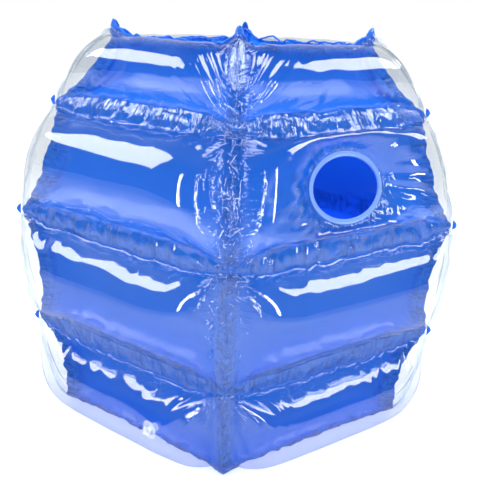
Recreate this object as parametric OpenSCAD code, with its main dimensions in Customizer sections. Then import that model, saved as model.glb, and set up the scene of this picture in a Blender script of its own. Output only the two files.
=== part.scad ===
// Inflatable wearable bumper ball. Four quarter panels of clear film lie over four panels of blue
// liner film. Level welds join the two films into four tiers of air pillows round an open barrel,
// strips close the four corner seams, and an oval hole on each side lets an arm out.
// The wearer faces -Y, and the ball stands on the undersides of its bottom pillows at Z = 0.

/* [Barrel] */
// Distance from the axis to a corner seam at the top rim
top_rim_r = 175; // [155:1:195]
// Distance from the axis to a corner seam at the weld under the top tier
upper_weld_r = 251; // [235:1:270]
// Distance from the axis to a corner seam at the weld round the waist
middle_weld_r = 300; // [285:1:320]
// Distance from the axis to a corner seam at the weld over the bottom tier
lower_weld_r = 276; // [272:1:290]
// Distance from the axis to a corner seam at the bottom rim
bottom_rim_r = 238; // [222:1:242]
// Height of the top tier at a corner
top_tier_h = 101; // [90:1:115]
// Height of the shoulder tier, which holds the arm holes
shoulder_tier_h = 153; // [145:1:170]
// Height of the belly tier
belly_tier_h = 154; // [140:1:170]
// Height of the bottom tier at a corner
bottom_tier_h = 121; // [116:1:124]
// Height of the bottom rim's corners above the floor
corner_lift = 5; // [4:0.5:5.5]
// How far the top rim sags between two corners
top_rim_sag = 14; // [5:1:25]
// How far the top rim is drawn in between two corners
top_rim_draw = 8; // [0:1:15]
// How far the bottom rim is drawn in between two corners
bottom_rim_draw = 12; // [8:1:18]
// How far the bottom rim sags between two corners
bottom_rim_sag = 4; // [3.5:0.25:4.5]

/* [Films] */
// Thickness of both films
film_t = 0.4; // [0.3:0.05:0.6]
// Gap between the two films along a weld
weld_gap = 0.2; // [0.1:0.05:0.4]
// Gap between two neighbouring panels at a corner seam
edge_gap = 0.2; // [0.1:0.05:0.4]
// Crown of the clear film on the top tier
top_crown = 46; // [36:1:54]
// Crown of the clear film on the shoulder tier
shoulder_crown = 50; // [40:1:58]
// Crown of the clear film on the belly tier
belly_crown = 50; // [40:1:58]
// Crown of the clear film on the bottom tier
bottom_crown = 56; // [54:1:60]
// Height under which the films settle flat on the floor
floor_settle = 3; // [2.5:0.5:4]
// Crown of the liner film towards the wearer
liner_crown = 32; // [22:1:40]
// How far the clear film bows out at a corner seam, between two welds
corner_bow = 8; // [5:1:14]
// How far the liner is drawn in at a corner seam, between two welds
liner_corner_draw = 12; // [6:1:18]
// Length beside a corner over which a pillow runs down to its seam
corner_run = 74; // [60:1:80]

/* [Corner seams] */
// Width of a seam strip, measured over both panels
seam_w = 34; // [26:1:38]
// Thickness of a seam strip
seam_t = 0.4; // [0.3:0.05:0.8]
// Gap between a seam strip and the clear film under it
seam_clear = 0.2; // [0.1:0.05:0.4]
// Height of the ear that a seam strip leaves above the top rim
seam_ear_h = 10; // [4:1:16]

/* [Arm holes] */
// Width of an arm hole
arm_hole_w = 124; // [100:1:136]
// Height of an arm hole
arm_hole_h = 78; // [64:1:86]
// Width of the welded ring round an arm hole
arm_ring_w = 7; // [5:0.5:9]
// Thickness of the ring
arm_ring_t = 0.8; // [0.5:0.1:1.5]
// Gap between the ring and the clear film under it
arm_ring_clear = 0.2; // [0.1:0.05:0.4]
// Height of an arm hole's centre above the waist weld, along the film
arm_hole_up = 73; // [68:1:80]
// How far the two films are cut back under the ring from its inner edge
arm_trim = 2; // [1.5:0.5:4]
// Width of the flat film left round the ring
arm_land = 4; // [3:0.5:6]
// Width of the dimple between that flat and the pillow's full crown
arm_dimple_w = 38; // [30:1:55]

/* [Valve] */
// Distance of the valve from the middle of the front panel, towards the right-hand corner
valve_along = 102; // [40:1:104]
// Turn of the valve about its own axis, which sets where the tether leaves
valve_turn = 40; // [0:5:90]
// Diameter of the flange that is welded to the clear film
flange_d = 24; // [22:0.5:26]
// Thickness of the flange
flange_t = 0.8; // [0.6:0.1:1.2]
// Gap between the flange and the clear film
flange_clear = 0.2; // [0.1:0.05:0.4]
// Diameter of the neck, which passes through the clear film
neck_d = 12; // [11:0.5:13]
// Gap between the neck and the edge of the hole in the film
neck_clear = 0.3; // [0.2:0.05:0.6]
// Length of the neck inside the pillow
neck_l = 9; // [7:0.5:12]
// Height of the collar over the flange
collar_h = 3.2; // [2.6:0.1:4]
// Diameter of the air bore
bore_d = 8; // [7:0.5:9]
// Gap between the valve's moving pieces and the pieces they close on
valve_clear = 0.3; // [0.2:0.05:0.5]
// Depth of the stopper in the bore
stopper_l = 4.5; // [3:0.5:6]
// How much narrower the stopper is at its tip
stopper_taper = 1; // [0.6:0.1:1.6]
// Thickness of the stopper's head
head_t = 1.6; // [1:0.1:2.4]
// Length of the pull tab on the stopper's head
tab_l = 4; // [2:0.5:6]
// Width of the tether and of the pull tab
tether_w = 4.5; // [3:0.5:6]
// Thickness of the tether
tether_t = 0.9; // [0.6:0.1:1.4]
// Distance of the tether's root from the edge of the flange
tether_inset = 0.6; // [0.3:0.1:1.2]
// Thickness of the check flap
flap_t = 0.6; // [0.4:0.1:1]
// How far the check flap overlaps the end of the neck
flap_lap = 1.2; // [0.8:0.1:1.6]

/* [Hidden] */
$fn = 64;

// Turn about +Z that brings a panel drawn facing +X to each side of the ball
RIGHT = 0;
BACK = 90;
LEFT = 180;
FRONT = 270;

// Sides of the air: the clear film lies outside it, the liner inside it
OUTER = 1;
LINER = -1;

// The five rings, from the top rim to the bottom rim
ring_r = [top_rim_r, upper_weld_r, middle_weld_r, lower_weld_r, bottom_rim_r];
ring_draw = [top_rim_draw, 0, 0, 0, bottom_rim_draw];
ring_sag = [top_rim_sag, 0, 0, 0, bottom_rim_sag];
lower_weld_z = corner_lift + bottom_tier_h;
middle_weld_z = lower_weld_z + belly_tier_h;
upper_weld_z = middle_weld_z + shoulder_tier_h;
top_rim_z = upper_weld_z + top_tier_h;
ring_z = [top_rim_z, upper_weld_z, middle_weld_z, lower_weld_z, corner_lift];
outer_crown = [top_crown, shoulder_crown, belly_crown, bottom_crown];

// The four tiers, by the ring at their top
TOP = 0;
SHOULDER = 1;
BOTTOM = 3;

// Facets of each tier from weld to weld, and the shares of a panel's half width where facets meet
tier_rows = [6, 6, 6, 8];
panel_half = middle_weld_r / sqrt(2);
share_seam = 1 - seam_w / 2 / panel_half;
share_flat = 1 - corner_run / panel_half;
share_mid = (share_seam + share_flat) / 2;
share_arm = share_flat / 4;
plain_cols = [-1, -share_seam, -share_mid, -share_flat, share_flat, share_mid, share_seam, 1];
arm_cols = [
    -1, -share_seam, -share_mid, -share_flat, -share_arm,
    share_arm, share_flat, share_mid, share_seam, 1
];
rows = [
    for (k = [0 : len(tier_rows) - 1])
        for (j = [k == 0 ? 0 : 1 : tier_rows[k]])
            [k, (1 - cos(180 * j / tier_rows[k])) / 2]
];
row_count = len(rows);
function panel_cols(hole) = hole ? arm_cols : plain_cols;

function mix(a, b, t) = a + (b - a) * t;
function unit(v) = v / norm(v);
function quarter_turn(p) = [-p[1], p[0], p[2]];

// Share of the full swell across a panel: 0 at the corner seams, 1 along the flat middle
corner_power = 1.5;
function corner_share(u) =
    abs(u) <= share_flat ? 1 : pow(sin(90 * (1 - min(1, abs(u))) / (1 - share_flat)), corner_power);

// A point of ring i at u, from -1 at one corner seam to 1 at the next
function ring_point(i, u) = [
    ring_r[i] / sqrt(2) - ring_draw[i] * corner_share(u),
    ring_r[i] / sqrt(2) * u,
    ring_z[i] - ring_sag[i] * corner_share(u)
];

// A point of the weld surface in tier k, at f from 0 at its upper ring to 1 at its lower ring
function weld_point(k, f, u) = mix(ring_point(k, u), ring_point(k + 1, u), f);

// How far tier k leans back from upright, and the lean shared by two tiers along their weld
function tier_lean(k, u) =
    let (top = ring_point(k, u), low = ring_point(k + 1, u))
    atan2(low[0] - top[0], top[2] - low[2]);
function lean(k, f, u) =
    f == 0 && k > TOP ? (tier_lean(k - 1, u) + tier_lean(k, u)) / 2 :
    f == 1 && k < BOTTOM ? (tier_lean(k, u) + tier_lean(k + 1, u)) / 2 :
    tier_lean(k, u);

// The way in which a pillow swells: square to its panel, and along the diagonal at a corner
function swell_way(k, f, u) =
    let (tip = lean(k, f, u), yaw = 45 * (1 - corner_share(u)) * sign(u))
    [cos(tip) * cos(yaw), cos(tip) * sin(yaw), sin(tip)];

// An arm hole's centre in the shoulder tier, and flat coordinates round it
shoulder_l = norm(ring_point(SHOULDER, 0) - ring_point(SHOULDER + 1, 0));
arm_f = 1 - arm_hole_up / shoulder_l;
arm_ring_rx = arm_hole_w / 2 + arm_ring_w;
arm_ring_ry = arm_hole_h / 2 + arm_ring_w;
arm_flat_rx = arm_ring_rx + arm_land;
arm_flat_ry = arm_ring_ry + arm_land;
function shoulder_half(f) = mix(ring_r[SHOULDER], ring_r[SHOULDER + 1], f) / sqrt(2);
function to_flat(f, u) = [shoulder_half(f) * u, (arm_f - f) * shoulder_l];
function flat_f(p) = arm_f - p[1] / shoulder_l;
function flat_u(p) = p[0] / shoulder_half(flat_f(p));

// Share of the swell that the arm hole's dimple leaves
function dimple_share(f, u) =
    let (p = to_flat(f, u))
    let (e = norm([p[0] / arm_flat_rx, p[1] / arm_flat_ry]))
    let (full = arm_dimple_w / arm_flat_ry)
    e <= 1 ? 0 : sin(90 * min(1, (e - 1) / full));

// A point on the air side of a film
function film_point(k, f, u, side, hole) =
    let (corner = side == OUTER ? corner_bow : liner_corner_draw)
    let (crown = side == OUTER ? outer_crown[k] : liner_crown)
    let (arch = 2 * sqrt(max(0, f * (1 - f))))
    let (dimple = hole && k == SHOULDER ? dimple_share(f, u) : 1)
    let (swell = arch * dimple * mix(corner, crown, corner_share(u)))
    weld_point(k, f, u) + side * (weld_gap / 2 + swell) * swell_way(k, f, u);

// The outward normal of a film, kept within the mitre plane at a corner seam
normal_step = 0.01;
function raw_normal(k, f, u, side, hole) =
    f == 0 || f == 1 ? swell_way(k, f, u) :
    let (du = film_point(k, f, min(1, u + normal_step), side, hole)
            - film_point(k, f, max(-1, u - normal_step), side, hole))
    let (df = film_point(k, max(0, f - normal_step), u, side, hole)
            - film_point(k, min(1, f + normal_step), u, side, hole))
    unit(cross(du, df));
function film_normal(k, f, u, side, hole) =
    let (n = raw_normal(k, f, u, side, hole))
    let (mitre = [1, -sign(u), 0] / sqrt(2))
    abs(u) < 1 ? n : unit(n - (n * mitre) * mitre);

// A film point moved off along the film's normal, away from the air
function off_point(k, f, u, side, off, hole) =
    film_point(k, f, u, side, hole) + side * off * film_normal(k, f, u, side, hole);

// A panel's vertex: on its own side of the mitre plane at a corner, where it may lie against the next
// panel, and flat where the clear film lies on the floor and the liner's rim on the clear film's
function panel_vertex(k, f, u, side, off, hole) =
    let (p = off_point(k, f, u, side, off, hole))
    let (skin_depth = abs(u) < 1 ? (film_t - off) * sqrt(2) : 0)
    let (reach = p[0] - edge_gap / 2 - skin_depth)
    let (settled = film_point(k, f, u, side, hole)[2] < floor_settle)
    let (rest_z = side == OUTER ? film_t - off : film_t + weld_gap + off)
    [p[0], sign(p[1]) * min(abs(p[1]), reach), settled ? rest_z : p[2]];

// Spokes from the arm hole out to the grid, clockwise from outside
hole_row = tier_rows[TOP];
hole_end = hole_row + tier_rows[SHOULDER];
hole_col = 1;
hole_col_end = len(arm_cols) - 2;
spokes = concat(
    [for (j = [hole_col : hole_col_end - 1]) [hole_row, j]],
    [for (i = [hole_row : hole_end - 1]) [i, hole_col_end]],
    [for (j = [hole_col_end : -1 : hole_col + 1]) [hole_end, j]],
    [for (i = [hole_end : -1 : hole_row + 1]) [i, hole_col]]
);
spoke_count = len(spokes);
layer_shares = [0.4, 0.72];
layer_count = len(layer_shares) + 2;

// Flat coordinates of a spoke's point on each layer, from the grid in to the edge of the hole
function spoke_point(s, layer) =
    let (i = spokes[s][0])
    let (start = to_flat(i == hole_row ? 0 : rows[i][1], arm_cols[spokes[s][1]]))
    let (turn = atan2(start[1] / arm_flat_ry, start[0] / arm_flat_rx))
    let (flat = [arm_flat_rx * cos(turn), arm_flat_ry * sin(turn)])
    let (edge = [(arm_hole_w / 2 + arm_trim) * cos(turn), (arm_hole_h / 2 + arm_trim) * sin(turn)])
    layer < len(layer_shares) ? mix(start, flat, layer_shares[layer]) :
    layer == len(layer_shares) ? flat : edge;

function panel_points(side, off, hole) = concat(
    [for (r = rows) for (u = panel_cols(hole)) panel_vertex(r[0], r[1], u, side, off, hole)],
    hole ? [
        for (layer = [0 : layer_count - 1])
            for (s = [0 : spoke_count - 1])
                let (p = spoke_point(s, layer))
                panel_vertex(SHOULDER, flat_f(p), flat_u(p), side, off, hole)
    ] : []
);

// Faces of a sheet: a front, a back with the same triangles turned over, and walls along its edges
function quad(a, b, c, d) = [[a, b, c], [a, c, d]];
function grid_quads(n_rows, n_cols, skip) = [
    for (i = [0 : n_rows - 2])
        for (j = [0 : n_cols - 2])
            if (!(skip && i >= hole_row && i < hole_end && j >= hole_col && j < hole_col_end))
                each quad(i * n_cols + j, i * n_cols + j + 1,
                    (i + 1) * n_cols + j + 1, (i + 1) * n_cols + j)
];
function grid_loop(n_rows, n_cols) = concat(
    [for (j = [0 : n_cols - 2]) j],
    [for (i = [0 : n_rows - 2]) i * n_cols + n_cols - 1],
    [for (j = [n_cols - 1 : -1 : 1]) (n_rows - 1) * n_cols + j],
    [for (i = [n_rows - 1 : -1 : 1]) i * n_cols]
);
function spoke_index(s, layer) =
    let (t = s % spoke_count)
    layer < 0 ? spokes[t][0] * len(arm_cols) + spokes[t][1] :
    row_count * len(arm_cols) + layer * spoke_count + t;
function spoke_quads() = [
    for (layer = [0 : layer_count - 1])
        for (s = [0 : spoke_count - 1])
            each quad(spoke_index(s, layer - 1), spoke_index(s + 1, layer - 1),
                spoke_index(s + 1, layer), spoke_index(s, layer))
];
function hole_loop() = [
    for (s = [spoke_count - 1 : -1 : 0]) spoke_index(s, layer_count - 1)
];
function wall_quads(loop, back) = [
    for (m = [0 : len(loop) - 1])
        let (a = loop[m], b = loop[(m + 1) % len(loop)])
        each quad(a + back, b + back, b, a)
];
function turned_over(faces, back) = [for (t = faces) [t[2] + back, t[1] + back, t[0] + back]];

module sheet(front, back, faces, loops) {
    n = len(front);
    walls = [for (loop = loops) each wall_quads(loop, n)];
    polyhedron(concat(front, back), concat(faces, turned_over(faces, n), walls), convexity = 8);
}

// One panel of film, facing +X
module film_panel(side, hole) {
    air = panel_points(side, 0, hole);
    skin = panel_points(side, film_t, hole);
    n_cols = len(panel_cols(hole));
    faces = concat(grid_quads(row_count, n_cols, hole), hole ? spoke_quads() : []);
    loops = concat([grid_loop(row_count, n_cols)], hole ? [hole_loop()] : []);
    sheet(side == OUTER ? skin : air, side == OUTER ? air : skin, faces, loops);
}

// One seam strip over the corner between the panel facing +X and the next one round, with an ear
// that is lower along its edges than in its middle
seam_cols = 3;
ear_edge_share = 1 / 3;
function strip_row(k, f, off) = [
    off_point(k, f, share_seam, OUTER, off, false),
    off_point(k, f, 1, OUTER, off, false),
    quarter_turn(off_point(k, f, -share_seam, OUTER, off, false))
];
function ear_row(off) =
    let (rim = strip_row(TOP, 0, off))
    [for (c = [0 : seam_cols - 1]) rim[c] + [0, 0, seam_ear_h * (c == 1 ? 1 : ear_edge_share)]];
function strip_points(off) = concat(ear_row(off), [for (r = rows) each strip_row(r[0], r[1], off)]);

module seam_strip() {
    under = film_t + seam_clear;
    faces = grid_quads(row_count + 1, seam_cols, false);
    sheet(strip_points(under + seam_t), strip_points(under), faces, [grid_loop(row_count + 1, seam_cols)]);
}

// One oval ring on the flat of the shoulder tier, on the panel facing +X
oval_step = 7.5;
module oval(rx, ry) {
    polygon([for (t = [0 : oval_step : 360 - oval_step]) [rx * cos(t), ry * sin(t)]]);
}
module arm_ring() {
    lift = weld_gap / 2 + film_t + arm_ring_clear;
    translate(weld_point(SHOULDER, arm_f, 0))
        rotate([0, 90 - tier_lean(SHOULDER, 0), 0])
            translate([0, 0, lift])
                linear_extrude(arm_ring_t)
                    difference() {
                        oval(arm_ring_ry, arm_ring_rx);
                        oval(arm_hole_h / 2, arm_hole_w / 2);
                    }
}

// The valve stands on the facet just over the crown of the front panel's bottom pillow
crown_row = tier_rows[BOTTOM] / 2;
function facet_end(j) =
    let (f = (1 - cos(180 * j / tier_rows[BOTTOM])) / 2)
    off_point(BOTTOM, f, 0, OUTER, film_t, false);
facet_top = facet_end(crown_row - 1);
facet_low = facet_end(crown_row);
valve_seat = (facet_top + facet_low) / 2;
valve_tip = atan2(facet_low[0] - facet_top[0], facet_top[2] - facet_low[2]);

module on_valve() {
    rotate([0, 0, FRONT])
        translate([valve_seat[0], valve_along, valve_seat[2]])
            rotate([0, 90 - valve_tip, 0])
                rotate([0, 0, valve_turn - 90])
                    children();
}

collar_z = flange_clear + flange_t + collar_h;
head_d = neck_d;
stopper_d = bore_d - 2 * valve_clear;
tether_z = flange_clear + flange_t + 2 * valve_clear;
tether_root = flange_d / 2 - tether_inset - tether_t;

// Flange, neck and collar in one, with the bore cut past both ends
bore_over = 1;
module valve_shell() {
    difference() {
        union() {
            translate([0, 0, flange_clear])
                cylinder(d = flange_d, h = flange_t);
            translate([0, 0, -neck_l])
                cylinder(d = neck_d, h = neck_l + collar_z);
        }
        translate([0, 0, -neck_l - bore_over])
            cylinder(d = bore_d, h = neck_l + collar_z + 2 * bore_over);
    }
}

// Stopper with its head, pull tab and tether, which bends at its root on the flange
module stopper() {
    head_z = collar_z + valve_clear;
    translate([0, 0, head_z])
        cylinder(d = head_d, h = head_t);
    translate([0, 0, head_z - stopper_l])
        cylinder(d1 = stopper_d - stopper_taper, d2 = stopper_d, h = stopper_l);
    translate([0, -tether_w / 2, head_z])
        cube([head_d / 2 + tab_l, tether_w, tether_t]);
    translate([0, tether_w / 2, 0])
        rotate([90, 0, 0])
            linear_extrude(tether_w)
                polygon([
                    [0, head_z], [0, head_z + tether_t], [-tether_root, head_z + tether_t],
                    [-tether_root - tether_t, head_z], [-tether_root - tether_t, tether_z],
                    [-tether_root, tether_z], [-tether_root, head_z]
                ]);
}

// Check flap that hangs from the inner end of the neck
module flap() {
    translate([0, 0, -neck_l - valve_clear - flap_t])
        cylinder(d = bore_d + 2 * flap_lap, h = flap_t);
}

module outer_panel_front() {
    color("aliceblue")
        difference() {
            rotate([0, 0, FRONT])
                film_panel(OUTER, false);
            on_valve()
                cylinder(d = neck_d + 2 * neck_clear, h = 2 * neck_l, center = true);
        }
}
module outer_panel_right() {
    color("aliceblue")
        rotate([0, 0, RIGHT])
            film_panel(OUTER, true);
}
module outer_panel_back() {
    color("aliceblue")
        rotate([0, 0, BACK])
            film_panel(OUTER, false);
}
module outer_panel_left() {
    color("aliceblue")
        rotate([0, 0, LEFT])
            film_panel(OUTER, true);
}
module liner_panel_front() {
    color("royalblue")
        rotate([0, 0, FRONT])
            film_panel(LINER, false);
}
module liner_panel_right() {
    color("royalblue")
        rotate([0, 0, RIGHT])
            film_panel(LINER, true);
}
module liner_panel_back() {
    color("royalblue")
        rotate([0, 0, BACK])
            film_panel(LINER, false);
}
module liner_panel_left() {
    color("royalblue")
        rotate([0, 0, LEFT])
            film_panel(LINER, true);
}
module corner_seam_front_right() {
    color("cornflowerblue")
        rotate([0, 0, FRONT])
            seam_strip();
}
module corner_seam_back_right() {
    color("cornflowerblue")
        rotate([0, 0, RIGHT])
            seam_strip();
}
module corner_seam_back_left() {
    color("cornflowerblue")
        rotate([0, 0, BACK])
            seam_strip();
}
module corner_seam_front_left() {
    color("cornflowerblue")
        rotate([0, 0, LEFT])
            seam_strip();
}
module arm_ring_right() {
    color("lightsteelblue")
        rotate([0, 0, RIGHT])
            arm_ring();
}
module arm_ring_left() {
    color("lightsteelblue")
        rotate([0, 0, LEFT])
            arm_ring();
}
module valve_body() {
    color("gainsboro")
        on_valve()
            valve_shell();
}
module valve_stopper() {
    color("whitesmoke")
        on_valve()
            stopper();
}
module valve_flap() {
    color("whitesmoke")
        on_valve()
            flap();
}

outer_panel_front();
outer_panel_right();
outer_panel_back();
outer_panel_left();
liner_panel_front();
liner_panel_right();
liner_panel_back();
liner_panel_left();
corner_seam_front_right();
corner_seam_back_right();
corner_seam_back_left();
corner_seam_front_left();
arm_ring_right();
arm_ring_left();
valve_body();
valve_stopper();
valve_flap();
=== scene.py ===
"""Looks of an inflatable bumper ball: blown films, crumpled welds and seams, arm rings and valve."""

import math
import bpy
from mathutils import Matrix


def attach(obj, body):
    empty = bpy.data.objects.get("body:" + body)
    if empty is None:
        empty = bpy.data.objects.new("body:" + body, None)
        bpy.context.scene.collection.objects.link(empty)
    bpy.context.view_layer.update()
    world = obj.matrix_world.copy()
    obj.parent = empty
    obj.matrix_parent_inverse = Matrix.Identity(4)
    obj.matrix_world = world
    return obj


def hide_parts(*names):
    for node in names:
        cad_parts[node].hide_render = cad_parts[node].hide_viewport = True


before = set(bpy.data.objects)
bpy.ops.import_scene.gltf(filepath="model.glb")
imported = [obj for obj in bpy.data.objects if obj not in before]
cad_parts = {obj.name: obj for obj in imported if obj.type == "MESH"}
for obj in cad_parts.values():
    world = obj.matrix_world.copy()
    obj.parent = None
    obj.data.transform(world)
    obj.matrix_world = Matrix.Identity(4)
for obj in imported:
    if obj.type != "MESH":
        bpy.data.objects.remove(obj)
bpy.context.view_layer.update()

from concurrent.futures import ThreadPoolExecutor

import bmesh
import bpy
import numpy as np
from bpy.props import (
    FloatProperty,
    FloatVectorProperty,
    IntProperty,
    PointerProperty,
)
from mathutils import Matrix, Quaternion, Vector

bl_info = {
    "name": "Inflatable bumper ball",
    "version": (1, 0, 0),
    "blender": (4, 5, 0),
    "location": "3D View > Sidebar > Bumper Ball",
    "description": "Blows up the films of a wearable bumper ball and dresses its seams, arm rings and valve",
    "category": "Add Mesh",
}

BODY = "ball"
OUTER, LINER = 1.0, -1.0
SHOULDER, BOTTOM = 1, 3
TIERS = 4
# Turn about +Z that brings a panel drawn facing +X to each side of the ball
SIDES = {"right": 0, "back": 90, "left": 180, "front": 270}
# The panel on whose +Y edge each corner seam lies, when that panel faces +X
CORNERS = {
    "front_right": "front",
    "back_right": "right",
    "back_left": "back",
    "front_left": "left",
}
# The ring at the waist, counted from the top rim
WAIST = 2
# Power of the run of a pillow down to a corner
CORNER_POWER = 1.5
# Power of the rounder rise of a blown pillow beside a seam strip
SHOULDER_POWER = 0.85
# Steps of a corner strip for each step of the film under it
FINER = 3
# Share of the puckers that the films keep under a corner strip
UNDER_STRIP = 0.25
PHOTO_SIZE = (481, 500)
# Points of the lines along which the grid's columns and rows are spaced
DENSE_U, DENSE_TURN = 4001, 2001
# A length or share too small to matter, and what keeps ties and normals from a division by zero
TINY, NO_GIVE, NO_LENGTH = 1e-9, 1e-6, 1e-12
# Room that a film keeps to the mitre plane of a corner, as cut and while it is blown up
MITRE_GAP, MITRE_SLIP = 0.0008, 0.0006
# Share of a panel's half width over which crumples fade towards a seam strip, and their width
CRUMPLE_FADE, CRUMPLE_W = 0.06, 0.0036
# Shares of the crumples out of the film and up it, at a level weld and at a rim
WELD_CRUMPLE, RIM_CRUMPLE = (1.0, 0.8), (0.6, 1.3)
# Crumples of a corner seam: rows in which they ease in at a weld, widths and shares
SEAM_EASE = 6.0
SEAM_W, SEAM_EDGE_W = 2.0, 1.8
SEAM_OUT, SEAM_ASIDE = 1.1, 1.2
# Strength of the film's ties on the slant, and of those that keep folds round
SLANT_PULL, STIFF_PUSH = 0.35, 0.22
# Room that the air keeps between the films, room above the floor, and share of a move that carries on
FILM_GUARD, FLOOR_GAP, CARRY = 0.0003, 0.0004, 0.9
# Shares of a point and of each of its four neighbours in the last smoothing
KEEP, TAKE = 0.5, 0.125
# Width at the edge of an arm ring's flat that is left to the air, and a distance outside any hole
LOOSE_EDGE, FAR = 0.002, 9.0
# Seed, width in cells and height of the ripples that a film starts from
RIPPLE_SEED, RIPPLE_W, RIPPLE_H = 50, 1.2, 0.0002
# Distances over which crinkles fade from a weld, and puckers from a corner seam
CRINKLE_REACH, PUCKER_REACH = 0.010, 0.012
# Share of a hole's radius within which cells are cut out
HOLE_CUT = 0.975
# Radius below which a point of a profile lies on the axis
ON_AXIS = 1e-7
# A profile's corner is rounded over no more than its sides' lengths divided by this
SIDE_PARTS = 2.2


# Settings


def a_length(name, about, default):
    """A setting in metres."""
    return FloatProperty(name=name, description=about, default=default, unit="LENGTH")


def a_row(name, about, default):
    """A row of settings in metres."""
    size = len(default)
    return FloatVectorProperty(name=name, description=about, size=size, default=default, unit="LENGTH")


def a_number(name, about, default):
    """A setting without a unit."""
    return FloatProperty(name=name, description=about, default=default)


def a_count(name, about, default):
    """A setting that is a whole number."""
    return IntProperty(name=name, description=about, default=default)


def an_angle(name, about, degrees):
    """A setting given in degrees."""
    return FloatProperty(name=name, description=about, default=math.radians(degrees), subtype="ANGLE")


def a_colour(name, about, default):
    """A colour in linear light."""
    return FloatVectorProperty(name=name, description=about, size=3, default=default, subtype="COLOR")


class BarrelSizes(bpy.types.PropertyGroup):
    """Where the welds, seams and holes lie, as in the part's solids."""

    ring_radii: a_row(
        "Ring radii",
        "Distance from the axis to a corner seam at the rims and welds, from the top down",
        (0.175, 0.251, 0.300, 0.276, 0.238),
    )
    ring_heights: a_row(
        "Ring heights",
        "Height of the rims and welds at a corner seam, from the top down",
        (0.534, 0.433, 0.280, 0.126, 0.005),
    )
    ring_draws: a_row(
        "Ring draws", "How far each ring is drawn in between two corners", (0.008, 0.0, 0.0, 0.0, 0.012)
    )
    ring_sags: a_row(
        "Ring sags", "How far each ring sags between two corners", (0.014, 0.0, 0.0, 0.0, 0.004)
    )
    crowns: a_row(
        "Crowns", "Crown of the clear film on each tier, from the top down", (0.046, 0.050, 0.050, 0.056)
    )
    liner_crown: a_length("Liner crown", "Crown of the liner towards the wearer", 0.032)
    corner_bow: a_length(
        "Corner bow", "How far the clear film bows out at a corner seam, between two welds", 0.008
    )
    liner_draw: a_length(
        "Liner corner draw", "How far the liner is drawn in at a corner seam, between two welds", 0.012
    )
    corner_run: a_length(
        "Corner run", "Length beside a corner over which a pillow runs down to its seam", 0.074
    )
    seam_w: a_length("Seam width", "Width of a corner seam over both panels", 0.034)
    film_t: a_length("Film thickness", "Thickness of both films", 0.0004)
    weld_gap: a_length("Weld gap", "Gap between the two films along a weld", 0.0002)
    arm_hole: a_row("Arm hole", "Width and height of an arm hole", (0.124, 0.078))
    arm_up: a_length(
        "Arm hole height", "Height of an arm hole's centre above the waist weld, along the film", 0.073
    )
    arm_ring_w: a_length("Arm ring width", "Width of the ring", 0.007)
    arm_land: a_length("Arm land", "Flat film left round the ring", 0.004)
    arm_trim: a_length(
        "Arm trim", "How far the films are cut back under the ring from its inner edge", 0.002
    )
    arm_dimple: a_length(
        "Arm dimple", "Width of the dimple between the ring's flat and the full crown", 0.038
    )
    valve_seat: FloatVectorProperty(
        name="Valve seat",
        description="Middle of the valve's seat on the film, on a panel that faces +X",
        size=3,
        default=(0.231371, 0.102, 0.059382),
        subtype="XYZ",
        unit="LENGTH",
    )
    valve_tip: an_angle("Valve tip", "Tilt of the valve's axis above level", -7.6146)
    valve_turn: an_angle("Valve turn", "Turn of the valve about its own axis", 40)


class BlowSettings(bpy.types.PropertyGroup):
    """How the films are cut, crumpled along the welds and blown up."""

    cell: a_length("Cell", "Size of the film's mesh cells", 0.003)
    weld_w: a_length("Weld width", "Width of a level weld", 0.008)
    eye_h: a_length(
        "Eye height", "Extra height of a level weld's flat, crinkled band in the middle of a panel", 0.020
    )
    slack_across: a_number(
        "Slack across", "Share of the pillow's extra width that the weld has to gather", 0.04
    )
    slack_along: a_number(
        "Slack along", "Share of the pillow's extra height that the corner seam has to gather", 0.005
    )
    cut: a_number("Cut", "Size of the cut film over its blown length", 0.995)
    crumple: a_length("Crumple", "Height of the crumples along a weld", 0.0011)
    push: a_number("Push", "How far the air pushes the film in each step", 4e-6)
    steps: a_count("Steps", "Steps of blowing up", 45)
    passes: a_count("Passes", "Stretch passes in each step", 3)
    seed: a_count("Seed", "Seed of the crumples", 7)
    seat_r: a_length("Seat radius", "Radius of the flat film under the valve", 0.013)
    seat_reach: a_length("Seat reach", "Radius in which the film eases on to the seat", 0.045)
    neck_hole_r: a_length("Neck hole", "Radius of the hole for the valve's neck", 0.0066)


class FinishSettings(bpy.types.PropertyGroup):
    """Colours of the films and of the moulded valve."""

    clear: a_colour("Clear film", "Tint of the clear film", (0.895, 0.912, 0.925))
    blue: a_colour("Blue film", "Colour of the liner", (0.012, 0.115, 0.51))
    seam: a_colour("Seam film", "Tint of the seam strips", (0.95, 0.97, 0.99))
    ring: a_colour("Ring film", "Tint of the arm rings", (0.30, 0.52, 0.95))
    valve: a_colour("Valve", "Colour of the moulded valve", (0.93, 0.955, 0.985))


class StageSettings(bpy.types.PropertyGroup):
    """Camera, lamps and floor."""

    azimuth: an_angle("Azimuth", "Camera's turn round the ball", 46.2)
    elevation: an_angle("Elevation", "Camera's angle above level", 11.6)
    roll: an_angle("Roll", "Camera's roll", 2.0)
    distance: a_length("Distance", "Distance to the waist's middle", 1.413)
    aim_height: a_length("Aim height", "Height of the point that the camera is placed by", 0.280)
    aim_pixel: FloatVectorProperty(
        name="Aim pixel", description="Pixel where that point lies", size=2, default=(236.0, 217.0)
    )
    focal_pixels: a_number("Focal length", "Focal length in pixels", 1011.0)
    lamp_level: a_number("Lamp level", "Radiance of the lamps' faces", 9.0)
    floor: a_colour("Floor", "Colour of the floor", (0.62, 0.62, 0.62))


# The films' shape before they are blown up


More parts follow.
